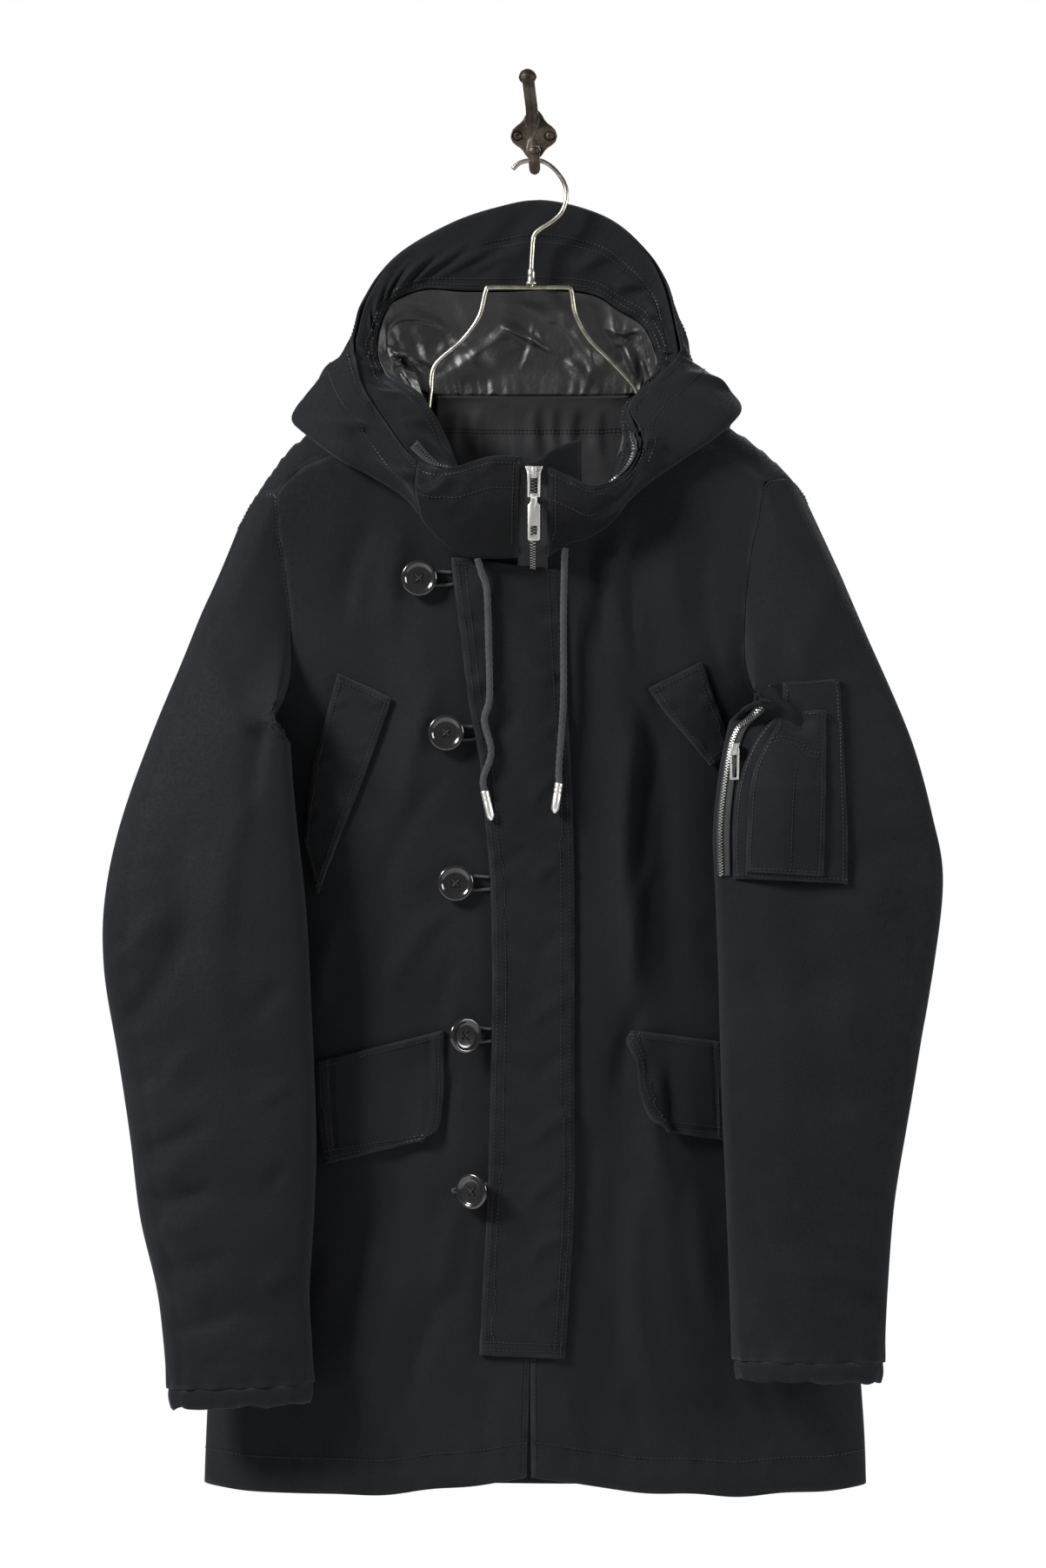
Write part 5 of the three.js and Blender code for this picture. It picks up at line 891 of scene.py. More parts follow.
# Cuffs
# A narrow folded band binds each sleeve's end. Its sewing draws the edge into small ripples.
CUFF_BAND = 15.0
DOUBLE = 2.6
for side, name in ((-1, "right"), (1, "left")):
    last = sleeve_rows[name][-1]
    part = np.linspace(0, 1, 9)[:, None]
    turns = np.linspace(0, 2 * np.pi, 97)[None, :-1]
    row = np.repeat(last[None, None], 9, 0).repeat(96, 1)
    row[..., 2] -= SEAM + part * CUFF_BAND
    row[..., 5] -= SEAM + part * CUFF_BAND
    grid = sleeve_point(row, turns + 0 * part)
    centre = grid.mean(1, keepdims=True)
    out = (grid - centre) * [1, 1, 0]
    out /= np.linalg.norm(out, axis=-1, keepdims=True)
    pull = 0.6 + 2.0 * part - 1.2 * np.sin(np.pi * part) + 1.1 * part * ripple(turns * 40, 13, side * 2.0)
    grid = grid - out * pull[..., None]
    grid[..., 2] += 1.3 * part * ripple(turns * 40, 24, side + 3.0)
    normals = grid_normals(grid, True)
    normals *= np.sign((normals * (grid - centre)).sum(-1, keepdims=True))
    sew(f"cuff_band_{name}", f"cuff_{name}", grid, normals, DOUBLE, twill, "twill", "hung",
        [f"sleeve_{name}"], True)

# Hood and collar
# One band of twill stands round the neck: up from the neck seam, out to a fold, and over to a stitched rim.
# Two collar ends close it in front, and the hood's two halves meet in a seam behind.
hood_rows = np.array([                              # rim x y z, fold x y z, neck x y z
    [-10, -104, -260, -12, -90, -334, -12, -79, -322], [-34, -106, -260, -33, -91, -335, -34, -79, -312],
    [-58, -105, -267, -54, -90, -333, -52, -79, -298], [-80, -98, -268, -76, -88, -316, -66, -79, -280],
    [-98, -90, -255, -97, -86, -290, -78, -78, -262], [-116, -78, -230, -124, -84, -272, -87, -79, -252],
    [-132, -66, -205, -150, -81, -258, -95, -78, -234.2], [-138, -54, -182, -180, -54, -233, -101, -52, -202],
    [-140, -49, -171, -178, -36, -231, -101, -38, -200], [-139, -44, -158, -165, -14, -250, -98, -24, -202],
    [-131, -36, -130, -136, -9, -288, -86, -24, -205], [-108, -30, -98, -98, -8, -316, -68, -24, -205],
    [-68, -26, -73, -56, -7, -332, -44, -24, -205], [-30, -23, -59, -20, -7, -338, -16, -24, -205],
    [8, -22, -53, 16, -7, -338, 14, -24, -205], [53, -25, -65, 54, -7, -332, 42, -24, -205],
    [82, -29, -87, 90, -8, -316, 66, -24, -205], [102, -35, -118, 122, -9, -288, 84, -24, -205],
    [113, -46, -166, 142, -14, -248, 98, -24, -202], [112, -50, -176, 152, -36, -222, 101, -38, -200],
    [107, -54, -184, 154, -54, -225, 101, -52, -202], [91, -66, -200, 139, -80, -241, 96, -77, -226],
    [74, -78, -218, 110, -84, -261, 88, -79, -244], [81, -89, -238, 90, -85, -275, 80, -78, -258],
    [84, -95, -253, 73, -87, -290, 70, -79, -272], [72, -101, -272, 58, -89, -308, 58, -79, -290],
    [46, -106, -282, 41, -90, -319, 44, -79, -302], [27, -106, -275, 25, -90, -324, 28, -79, -312],
    [11, -104, -268, 10, -90, -334, 12, -79, -320]], float)
HOOD_CENTRE, COLLAR_RIGHT, COLLAR_LEFT = 13.8, 3.5, 24.5


def hood_surface(place, step):
    """A point of the hood's inner face: through the section's neck, the cloth under the fold, the fold, the
    cloth over it, the puffed middle and the rim, in that order."""
    row = rows_at(hood_rows, place)
    rim, fold, neck = row[..., 0:3], row[..., 3:6], row[..., 6:9]
    out = np.stack([fold[..., 0] * 0.25, fold[..., 1] + 42, 0 * fold[..., 0]], -1)
    out /= np.linalg.norm(out, axis=-1, keepdims=True)
    rise = np.array([0, 0, 7.0])
    under, over = fold - out * 4 + rise, fold + out * 4 + rise
    puffed = (over + rim) / 2 + out * 6
    puffed[..., 1] = np.minimum(puffed[..., 1], -3)
    path = np.stack([neck, under, fold, over, puffed, rim], 0)
    last = len(path) - 1
    index = np.clip(np.floor(step).astype(int), 0, last - 1)
    part = (step - index)[..., None]
    pick = lambda at: np.take_along_axis(path, np.clip(at, 0, last)[None, ..., None], 0)[0]
    before, low, high, after = (pick(index + k) for k in (-1, 0, 1, 2))
    return bend(part, before, low, high, after)


hood_creases = np.array([                           # place and step of one end and the other, wide, out
    [1.2, 4.6, 2.4, 3.6, 0.16, -1.4], [2.2, 4.8, 3.6, 3.8, 0.2, 1.6], [2.6, 3.9, 4.2, 3.2, 0.2, -2.0],
    [3.4, 4.4, 5.0, 3.4, 0.2, 2.0], [4.2, 4.9, 6.2, 3.6, 0.24, -2.2], [5.2, 4.4, 7.0, 3.2, 0.24, 2.0],
    [6.4, 4.8, 8.2, 3.4, 0.26, -1.8], [8.0, 4.6, 9.6, 3.4, 0.26, 1.6], [9.6, 4.9, 11.0, 3.6, 0.26, -1.5],
    [11.2, 4.8, 12.4, 3.3, 0.26, 1.8], [12.6, 4.4, 13.2, 3.2, 0.26, -1.6], [14.6, 4.9, 15.0, 3.3, 0.28, 1.6],
    [16.0, 4.6, 15.6, 3.3, 0.26, -1.6], [17.6, 4.8, 16.8, 3.4, 0.26, 1.8], [19.0, 4.9, 18.0, 3.3, 0.24, -1.6],
    [20.6, 4.7, 19.4, 3.4, 0.24, 1.7], [22.4, 4.8, 21.0, 3.4, 0.22, -1.8], [23.6, 4.6, 22.2, 3.5, 0.2, 1.8],
    [24.8, 4.8, 23.6, 3.5, 0.2, -1.8], [26.0, 4.6, 25.0, 3.6, 0.18, 1.4], [27.2, 4.6, 26.2, 3.7, 0.16, -1.2]],
    float)


def bent_creases(table, u, v, unit_u, unit_v):
    """Creases on a surface in its own two numbers, each first turned into a length by its unit."""
    scaled = table * [unit_u, unit_v, unit_u, unit_v, unit_u, 1]
    return creases_at(scaled, u * unit_u, v * unit_v)


def hood_grid(start, end):
    """A part of the hood between two places: its inner face, that face's normals, and how far the creases,
    the rim's seam and its ripple move the cloth out."""
    places = np.linspace(start + 0.012, end - 0.012, max(int((end - start) * 9), 12))
    steps = np.concatenate([np.linspace(0, 1, 14)[:-1], np.linspace(1, 3, 17)[:-1], np.linspace(3, 5, 40)])
    place, step = np.meshgrid(places, steps)
    grid = hood_surface(place, step)
    normals = grid_normals(grid)
    out = 2.3 * bent_creases(hood_creases, place, step, 24.0, 40.0)
    fade = np.clip((step - 2.9) * 2, 0, 1)
    rim = np.exp(-((step - 4.86) / 0.07) ** 2)
    out = out * fade - 0.8 * rim + 1.6 * np.exp(-((step - 4.8) / 0.16) ** 2) * ripple(place * 24, 23, 1.7)
    keep = np.clip((place - start) * 3, 0, 1) * np.clip((end - place) * 3, 0, 1)
    keep = np.where((start < 1) & (place < 5), np.clip((end - place) * 3, 0, 1), keep)
    return grid, normals, np.maximum(out * keep, -0.6)


# Painted shade: the collar ends get a darker copy of the same twill, standing in for the shade they lie in.
collar_twill_painted_shade = twill_look("black_twill_collar_painted_shade", (0.0016, 0.0018, 0.0022), (0.0028, 0.003, 0.0037),
                        (0.01, 0.0105, 0.012), 0.72)
hood = {}
for node, start, end, skin in (
        ("collar_right", 0, COLLAR_RIGHT, collar_twill_painted_shade), ("hood_right", COLLAR_RIGHT, HOOD_CENTRE, twill),
        ("hood_left", HOOD_CENTRE, COLLAR_LEFT, twill), ("collar_left", COLLAR_LEFT, 28, collar_twill_painted_shade)):
    grid, normals, out = hood_grid(start, end)
    turned_in = (np.cross(np.gradient(grid, axis=0), np.gradient(grid, axis=1)) * normals).sum() < 0
    outward = -normals if turned_in else normals
    outer = grid + outward * (CLOTH + out)[..., None]
    hood[node] = (outer, outward)
    sew(f"{node}_cloth", node, outer, outward, CLOTH, skin, "twill", "gathered", ["back"])

# Facing inside the rim
# A shaped strip of the same twill, turned in from the rim and sewn down with a double row. The lining hangs
# from its inner edge.
facing_rows = np.array([                            # place, edge x y z, base x y z
    [0.4, -20, -99, -286, -20, -96, -300], [2, -50, -95, -284, -48, -92, -296],
    [3.5, -66, -76, -247, -62, -72, -262], [4.2, -79, -73, -222, -68, -70, -248],
    [5, -92, -66, -205, -80, -66, -232], [6, -113, -51, -195, -86, -59, -210],
    [7, -120, -45, -185, -92, -48, -192], [8, -123, -40, -174, -97, -38, -194],
    [9, -122, -36, -156, -94, -30, -198], [10, -112, -33, -134, -83, -28, -204],
    [11, -86, -31, -123, -66, -27.6, -206], [12, -55, -30, -124, -42, -27.6, -206],
    [13, -22, -29, -124, -16, -27.6, -206], [14, 10, -29, -123, 12, -27.6, -206],
    [15, 46, -30, -127, 40, -27.6, -206], [16, 68, -31, -140, 63, -27.6, -206],
    [17, 86, -34, -152, 80, -28, -204], [18, 95, -38, -172, 92, -30, -198],
    [19, 96, -42, -184, 97, -38, -196], [20, 92, -50, -194, 97, -50, -200],
    [21, 80, -58, -208, 91, -64, -221], [22, 68, -66, -226, 77, -66, -236],
    [23, 70, -76, -246, 67, -70, -251], [24.5, 62, -86, -272, 60, -84, -280],
    [26, 44, -97, -302, 44, -92, -306], [27.6, 17, -99, -294, 17, -94, -306]], float)
FACING, LINING = 1.6, 1.2
NECK_MIDDLE = np.array([-10, -60, -190.0])


def facing_surface(place, part):
    """The hidden side of the facing: a curve from just inside the rim, down along the hood's own cloth, to
    the facing's inner edge."""
    five = np.full(np.shape(place), 5.0)
    rim = hood_surface(place, five)
    along = hood_surface(place + 0.05, five) - rim
    up = rim - hood_surface(place, five - 0.05)
    out = np.cross(up, along)
    out /= np.linalg.norm(out, axis=-1, keepdims=True)
    up /= np.linalg.norm(up, axis=-1, keepdims=True)
    edge = rows_at(facing_rows, place_of(facing_rows, 0, place))[..., 1:4]
    start = rim - out * (2 * LAY + SEAM) - up * 0.6
    half = (start + edge) / 2 - up
    part = part[..., None]
    return start * (1 - part) ** 2 + half * 2 * part * (1 - part) + edge * part ** 2


def inward(grid):
    """Normals of a strip inside the hood that face the middle of the neck's opening."""
    normals = grid_normals(grid)
    return normals * -np.sign((normals * (grid - NECK_MIDDLE)).sum(-1).mean())


place, part = np.meshgrid(np.linspace(0.412, 27.588, 300), np.linspace(0, 1, 26))
grid = facing_surface(place, part)
facing_creases = np.array([
    [8.6, 0.95, 9.9, 0.2, 0.10, 0.9], [9.1, 0.95, 10.6, 0.15, 0.11, 1.0],
    [9.6, 0.9, 11.4, 0.15, 0.1, 0.8], [10.1, 0.92, 11.9, 0.25, 0.12, 1.1],
    [10.7, 0.9, 12.5, 0.3, 0.1, 0.9], [11.3, 0.85, 12.9, 0.45, 0.11, 0.8],
    [12.2, 0.8, 13.4, 0.55, 0.1, 0.6], [14.6, 0.85, 15.6, 0.3, 0.12, 0.7],
    [15.6, 0.9, 16.9, 0.3, 0.14, 0.9], [17.0, 0.85, 17.7, 0.2, 0.12, 0.8],
    [18.2, 0.8, 18.6, 0.15, 0.12, 0.7], [19.4, 0.85, 19.6, 0.2, 0.12, 0.8],
    [20.8, 0.8, 20.6, 0.2, 0.12, 0.8], [22.0, 0.85, 21.6, 0.15, 0.11, 0.7],
    [23.6, 0.8, 23.2, 0.2, 0.1, 0.6], [7.6, 0.9, 8.3, 0.1, 0.12, 0.9], [6.6, 0.9, 7.3, 0.15, 0.1, 0.8],
    [5.2, 0.85, 6.2, 0.15, 0.12, 0.7], [4.2, 0.8, 5.0, 0.2, 0.1, 0.6]], float)
normals = inward(grid)
out = 3.6 * bent_creases(facing_creases, place, part, 22.0, 60.0) * np.sin(np.pi * np.clip(part, 0.03, 1))
out = out + 1.1 * ripple(place * 22 + part * 40, 27, 3.1) * np.sin(np.pi * part) + 0.5 * np.sin(np.pi * part)
out = out + 0.7 * np.exp(-((part - 0.93) / 0.06) ** 2) * ripple(place * 22, 19, 2.2)
joined = np.clip((place - 12.4) * 3, 0, 1) * np.clip((19 - place) * 3, 0, 1)
out = out - 1.4 * joined * np.exp(-((part - 0.42) / 0.035) ** 2)
grid = grid + normals * (FACING + np.maximum(out, -0.6))[..., None]
facing = (grid, inward(grid))
# Painted shade: the facing inside the hood and the wind flap behind the zip get a darker copy of the same
# twill, standing in for the shade there.
inside_twill_painted_shade = twill_look("black_twill_inside_painted_shade", (0.0028, 0.003, 0.0036), (0.0048, 0.0052, 0.006),
                        (0.011, 0.0115, 0.013), 0.74)
sew("hood_facing_cloth", "hood_facing", *facing, FACING, inside_twill_painted_shade, "twill", "gathered", ["hood_right"])

# Hood lining and neck lining
# Glossy black satin. Above, it is cut full and gathered into the neck, so it lies in many sharp creases. The
# piece below it is plain, with a sewn line across.
def satin_look(name, coarse, dark, light, sweep, rough, shine, creases, depth):
    """Satin: mottled between two tones, its roughness in broad patches, and its fine creases a noise of a
    given scale, detail, roughness and height over the tooth of its threads."""
    made, tree, shader, _, tooth = mottled(name, "satin", (coarse, 500), dark, light, None, (0.3, 0.7))
    place = coords(tree, "Object")
    tree.links.new(ramp(tree, noise(tree, place, sweep), 0.3, 0.7, *rough), shader.inputs["Roughness"])
    shader.inputs["Specular IOR Level"].default_value = shine
    fine = maths(tree, "MULTIPLY", noise(tree, place, *creases[:3]), creases[3])
    bump(tree, shader, maths(tree, "MULTIPLY_ADD", tooth, 0.06, fine), depth)
    return made, shader


satin, shader = satin_look("glossy_satin", 14, (0.003, 0.0031, 0.0036), (0.0065, 0.0067, 0.0074), 30,
                           (0.42, 0.56), 0.6, (60, 3.0, 0.55, 0.9), 0.0016)
shader.inputs["Sheen Weight"].default_value = 0.1
satin_plain, _ = satin_look("plain_satin", 12, (0.014, 0.0143, 0.0157), (0.023, 0.0234, 0.025), 24,
                            (0.36, 0.5), 0.45, (34, 2.0, 0.5, 0.6), 0.0014)

random = np.random.default_rng(7)
place, part = np.meshgrid(np.linspace(4.612, 23.388, 330), np.linspace(0, 1, 56))
row = rows_at(facing_rows, place_of(facing_rows, 0, place))
edge, base = row[..., 1:4], row[..., 4:7]
span = np.linalg.norm(edge - base, axis=-1)
gap = 1.8 / span
share = (gap + (1 - gap) * part)[..., None]
grid = edge * (1 - share) + base * share
grid[..., 1] += np.sin(np.pi * part) * 5 * np.minimum(span / 80, 1)
count = 64
middle = random.uniform(5.0, 23.0, count)
lean = random.normal(0.3, 1.7, count)
top = random.uniform(-0.1, 0.55, count)
reach = random.uniform(0.25, 0.75, count)
lining_creases = np.stack([middle - lean / 2, top, middle + lean / 2, np.minimum(top + reach, 1.15),
                           random.uniform(0.07, 0.3, count),
                           random.uniform(1.4, 4.2, count) * random.choice([-1, 1, 1], count)], 1)
out = bent_creases(lining_creases, place, part, 20.0, 70.0)
foot = np.exp(-((part - 1) / 0.16) ** 2)
gather = ripple(place * 20, 7.3, 1.0) * np.clip(0.6 + ripple(place * 20, 61, 2.4), 0.1, 1.3)
out = out * np.sin(np.pi * np.clip(part, 0.04, 0.97)) + 0.8 * foot * gather * (part < 0.995)
keep = np.clip((place - 4.6) * 1.5, 0, 1) * np.clip((23.4 - place) * 1.5, 0, 1)
normals = inward(grid)
grid = grid + normals * (LINING + np.maximum(out * keep * np.minimum(span / 45, 1), -0.9))[..., None]
sew("hood_lining_cloth", "hood_lining", grid, inward(grid), LINING, satin, "satin", "gathered",
    ["hood_facing"])

neck_rows = np.array([[-76, -207.8, 74, -207.8], [-77, -228, 76, -228], [-77, -245, 77, -245],
                      [-72, -284, 72, -284]], float)       # left x, left z, right x, right z


def flat_places(rows, tall, wide):
    """Places seen from the front over a piece whose rows run from its left edge to its right edge, with how
    far across and how far down each one is."""
    down, across = np.meshgrid(np.linspace(0, 1, tall), np.linspace(0, 1, wide), indexing="ij")
    row = rows_at(rows, down * (len(rows) - 1))
    return (row[..., 0] + (row[..., 2] - row[..., 0]) * across,
            row[..., 1] + (row[..., 3] - row[..., 1]) * across, across, down)


x, z, _, _ = flat_places(neck_rows, 30, 80)
y = back_surface(x, z)[..., 1] - CLOTH - LAY - LINING
neck_creases = np.array([
    [-40, -212, -44, -262, 5, -1.6], [-22, -212, -18, -262, 5, 1.2], [2, -212, 6, -262, 5, -1.6],
    [16, -212, 20, -258, 4, -1.2], [34, -212, 30, -262, 5, -1.6], [52, -214, 54, -262, 5, -1.2],
    [-58, -214, -60, -262, 5, -1.2]], float)
y = y + np.minimum(creases_at(neck_creases, x, z), 0.4)
grid = np.stack([x, y, z], -1)
neck = (grid, facing_front(grid))
sew("neck_lining_cloth", "neck_lining", *neck, LINING, satin_plain, "satin", "laid", ["back"])

# Placket
# A doubled strip of twill covers the front opening. Two rows of sewing hold each long edge and pull the
# cloth between them into slanting puckers.
placket_rows = np.array([
    [-63.8, -336, 19.9, -346], [-55.8, -397, 23, -400], [-49.7, -448, 25, -448], [-41, -495, 27.6, -495],
    [-36.3, -547, 29.6, -547], [-33, -588, 30.4, -588], [-31.7, -669, 30.6, -669], [-33, -744, 30.4, -744],
    [-35, -821, 29.9, -821], [-37.7, -878, 27.8, -878], [-41.7, -950, 23.2, -952]], float)
slants = np.array([                                 # top x, top z, foot x, foot z, wide, out
    [-52, -352, -12, -380, 5, -1.1], [-20, -360, 16, -392, 5, 1.0], [-46, -420, -14, -438, 5, -1.0],
    [-10, -410, 20, -430, 5, -1.0], [-44, -470, -10, -452, 5, 1.0], [-36, -520, -4, -548, 5, -1.2],
    [26, -500, -6, -530, 5, -1.0], [-32, -570, 0, -556, 5, 1.0], [28, -566, -4, -590, 5, -1.2],
    [-30, -604, 6, -632, 5, -1.2], [28, -620, 0, -650, 5, 1.0], [-30, -650, 4, -676, 5, -1.1],
    [28, -676, -6, -700, 5, -1.3], [-30, -704, 2, -724, 5, -1.2], [27, -716, -2, -744, 5, 1.1],
    [-30, -744, 6, -770, 5, -1.2], [28, -764, -4, -790, 5, -1.2], [-32, -794, 0, -812, 5, 1.0],
    [28, -810, -8, -838, 5, -1.3], [-34, -836, 0, -856, 5, -1.2], [26, -856, -6, -880, 5, -1.1],
    [-36, -880, 0, -902, 5, 1.1], [25, -896, -6, -922, 5, -1.2], [-38, -920, 0, -938, 5, -1.0]], float)


def patch(name, node, under, rows, tall, wide, lift, thickness, rests, material=twill, slot="twill"):
    """A piece sewn flat on the coat: the depth of the cloth under it at each place, moved out along the
    patch's normals by the lift and the thickness."""
    x, z, across, down = flat_places(rows, tall, wide)
    grid = np.stack([x, under(x, z), z], -1)
    grid = grid + facing_front(grid) * (lift(across, down, x, z) + thickness)[..., None]
    piece = (grid, facing_front(grid))
    sew(name, node, *piece, thickness, material, slot, "laid", [rests])
    return piece


def placket_lift(across, down, x, z):
    """The placket's two layers: full a little way in from each long edge, sewn down in puckers that slant."""
    wide = 62.0
    rim = np.minimum(across, 1 - across) * wide
    rows = 1.2 * np.exp(-((rim - 7) / 6) ** 2) * ripple(z + 6 * across, 19, 0.5 + (across > 0.5) * 2.0)
    return LAY + np.maximum(0.7 * np.clip(rim / 5, 0, 1) + rows - 1.5 * creases_at(slants, x, z), -0.5)


placket = patch("placket_strip", "placket", front_y, placket_rows, 160, 30, placket_lift, DOUBLE,
                "front_left")

# Pockets
# Slanting welts on the chest, flaps at the waist and a zipped pocket on the left sleeve with two pen slots.
# All are twill, doubled and turned under, with one or two rows of sewing near their edges.
welt_rows = {
    "right": np.array([[-151.1, -425.6, -110.2, -444.3], [-159, -456, -122, -478], [-168, -490, -136, -516],
                       [-173, -518, -150, -551], [-176, -556, -166, -594]], float),
    "left": np.array([[88.4, -436.3, 128.6, -416.2], [103, -456, 137, -440], [120, -476, 145, -462],
                      [136, -496, 150, -484]], float),
}
flap_rows = {
    "right": np.array([[-168, -725, -69.3, -700.6], [-167, -745, -70, -725], [-165, -770, -71.3, -757],
                       [-162, -791, -75, -776], [-159.3, -802.2, -86, -785]], float),
    "left": np.array([[74, -700, 145, -710], [80, -722, 146, -732], [86, -744, 146, -754],
                      [91, -764, 146, -771], [98, -777, 145, -784]], float),
}


def welt_lift(across, down, x, z):
    """A welt stands a little proud, and ripples beside the sewing round its edge."""
    rim = np.minimum(np.minimum(across, 1 - across) * 36, down * 150)
    return LAY + 0.5 * np.clip(rim / 6, 0, 1) + 0.9 * np.exp(-((rim - 6) / 4) ** 2) * ripple(z, 16, 0.9)


def flap_lift(curl):
    """A flap stands out more towards its foot, with a seam inside its edge. Its inner edge curls forward."""
    def lift(across, down, x, z):
        rim = np.minimum(np.minimum(across, 1 - across) * 80, (1 - down) * 78)
        roll = curl * np.exp(-across * 7) * np.minimum(down * 4 + 0.3, 1)
        seam = -0.7 * np.exp(-((rim - 8.5) / 1.8) ** 2)
        return LAY + 2.5 * down * down + roll + 0.7 * np.clip(rim / 5, 0, 1) + seam \
            + 1.2 * ripple(x, 41, 1.9) * down
    return lift


welts = {side: patch(f"chest_pocket_{side}", f"chest_welt_{side}", front_y, welt_rows[side], 60, 22,
                     welt_lift, DOUBLE, f"front_{side}") for side in ("right", "left")}
flaps = {side: patch(f"waist_flap_{side}", f"lower_flap_{side}", front_y, flap_rows[side], 46, 50,
                     flap_lift(curl), DOUBLE, f"front_{side}")
         for side, curl in (("right", 0.6), ("left", 8.0))}


def drape_on(points, spread=4.0):
    """The depth of a surface known at scattered points, at places seen from the front: the mean of the
    points' depths, each weighed by a bell of its distance."""
    def depth(x, z):
        away = (x.ravel()[:, None] - points[:, 0]) ** 2 + (z.ravel()[:, None] - points[:, 2]) ** 2
        weigh = np.exp(-away / (2 * spread * spread)) + 1e-12
        return ((weigh * points[:, 1]).sum(1) / weigh.sum(1)).reshape(x.shape)
    return depth


pocket_rows = np.array([[190, -434, 233, -431], [188, -452, 234, -455], [172, -474, 235, -476],
                        [158, -502, 236, -502], [153, -540, 238, -545], [153, -582, 238, -586]], float)
pen_rows = np.array([[193, -452, 222, -455], [168, -500, 221, -502], [163, -545, 220, -547],
                     [162, -577, 219, -580]], float)
tape_rows = np.array([[172, -438, 181, -434], [167, -452, 176, -451], [155, -466, 164, -465],
                      [149, -480, 158, -479], [145, -502, 154, -502], [140.5, -540, 150, -540],
                      [141, -580, 150, -580]], float)
sleeve_front = sleeves["left"][0][:, 1:36].reshape(-1, 3)
sleeve_front = sleeve_front[(sleeve_front[:, 2] < -410) & (sleeve_front[:, 2] > -610)]
on_sleeve = drape_on(sleeve_front)


def pocket_lift(across, down, x, z):
    """The pocket bulges in its middle and towards its foot, with a turned edge and a fold above its foot."""
    rim = np.minimum(np.minimum(across, 1 - across) * 70, np.minimum(down, 1 - down) * 150)
    fold = 0.9 * np.exp(-((down - 0.9) / 0.05) ** 2) * across
    return LAY + 4 * np.sin(np.pi * across) * np.sqrt(down) + 1.1 * np.clip(rim / 6, 0, 1) \
        + 0.5 * ripple(z, 33, 0.3) * np.clip(rim / 9, 0, 1) + fold


pocket = patch("sleeve_pocket_cloth", "sleeve_pocket", on_sleeve, pocket_rows, 60, 40, pocket_lift, DOUBLE,
               "sleeve_left")


def slot_lift(across, down, x, z):
    """Two pen slots: the panel steps out along a welt at its top, and again a third of the way down."""
    first = np.exp(-((down - 0.03) / 0.03) ** 2)
    second = np.exp(-((down - 0.42) / 0.035) ** 2)
    return 1.1 + 0.9 * first + 1.1 * second + 0.3 * ripple(x, 23, 1.0) * np.sin(np.pi * down)


pen_panel = patch("pen_panel_cloth", "sleeve_pen_panel", drape_on(pocket[0].reshape(-1, 3)), pen_rows, 70, 30,
                  slot_lift, 1.4, "sleeve_pocket")
tape_black, tree, shader, _, _ = mottled(
    "woven_tape", "braid", (40, 700), (0.01, 0.0105, 0.012), (0.02, 0.021, 0.023))
shader.inputs["Roughness"].default_value = 0.85
weave = tree.nodes.new("ShaderNodeGroup")
weave.node_tree = ribs
weave.inputs["Scale"].default_value = 260
tree.links.new(coords(tree, "UV"), weave.inputs["Vector"])
bump(tree, shader, weave.outputs["Height"], 0.0002)
sleeve_tape = patch("sleeve_tape", "sleeve_zip_tape", on_sleeve, tape_rows, 60, 9,
                    lambda across, down, x, z: LAY + 0 * across, LINING, "sleeve_left", tape_black, "braid")

# Zips
# The front zip runs up between the collar's ends, and two more edge the hood's opening above it. All have
# moulded teeth on woven tape. The wind flap stands behind the front zip.
wind_rows = np.array([                              # x, top y, top z, foot y, foot z
    [-4, -101, -265, -98.6, -308], [7, -100.8, -259, -98, -307], [20, -94, -251, -94, -303],
    [30, -90, -247, -91, -298], [36, -88, -245, -90, -294]], float)
down, across = np.meshgrid(np.linspace(0, 1, 26), np.linspace(0, 4, 26), indexing="ij")
row = rows_at(wind_rows, across)
grid = np.stack([row[..., 0], row[..., 1] + (row[..., 3] - row[..., 1]) * down,
                 row[..., 2] + (row[..., 4] - row[..., 2]) * down], -1)
# Painted shade: the wind flap takes the darker copy of the twill made for the facing.
sew("wind_flap_cloth", "wind_flap", grid, facing_front(grid), CLOTH, inside_twill_painted_shade, "twill", "hung",
    ["collar_left"])

step = np.linspace(3.02, 4.85, 44)
left_edge, right_edge = hood_surface(np.full(44, 0.012), step), hood_surface(np.full(44, 27.988), step)
share = np.linspace(0, 1, 9)[None]
zip_grid = np.stack([(left_edge[:, None, 0] - 2) * (1 - share) + (right_edge[:, None, 0] + 2) * share,
                     (left_edge[:, None, 1] + right_edge[:, None, 1]) / 2 + 1.1 + 0 * share,
                     left_edge[:, None, 2] * (1 - share) + right_edge[:, None, 2] * share], -1)
behind_placket = np.arange(7, 0, -1)[:, None, None] * [0, 2.2, -2.6]
middle_x = zip_grid[0, :, 0].mean()
drop = zip_grid[:1] + behind_placket
drop[..., 0] = middle_x + (drop[..., 0] - middle_x) * 0.85
zip_grid = np.concatenate([drop, zip_grid])
zip_normals = facing_front(zip_grid)
sew("front_zip_cloth", "front_zip_tape", zip_grid, zip_normals, LINING, tape_black, "braid", "laid",
    ["collar_left"])


dull_metal, tree, shader, _, tooth = mottled(
    "dull_teeth", "nickel", (140, 1500), (0.16, 0.16, 0.155), (0.34, 0.335, 0.32), (0.32, 0.5))
shader.inputs["Metallic"].default_value = 1
bump(tree, shader, tooth, 0.00004)


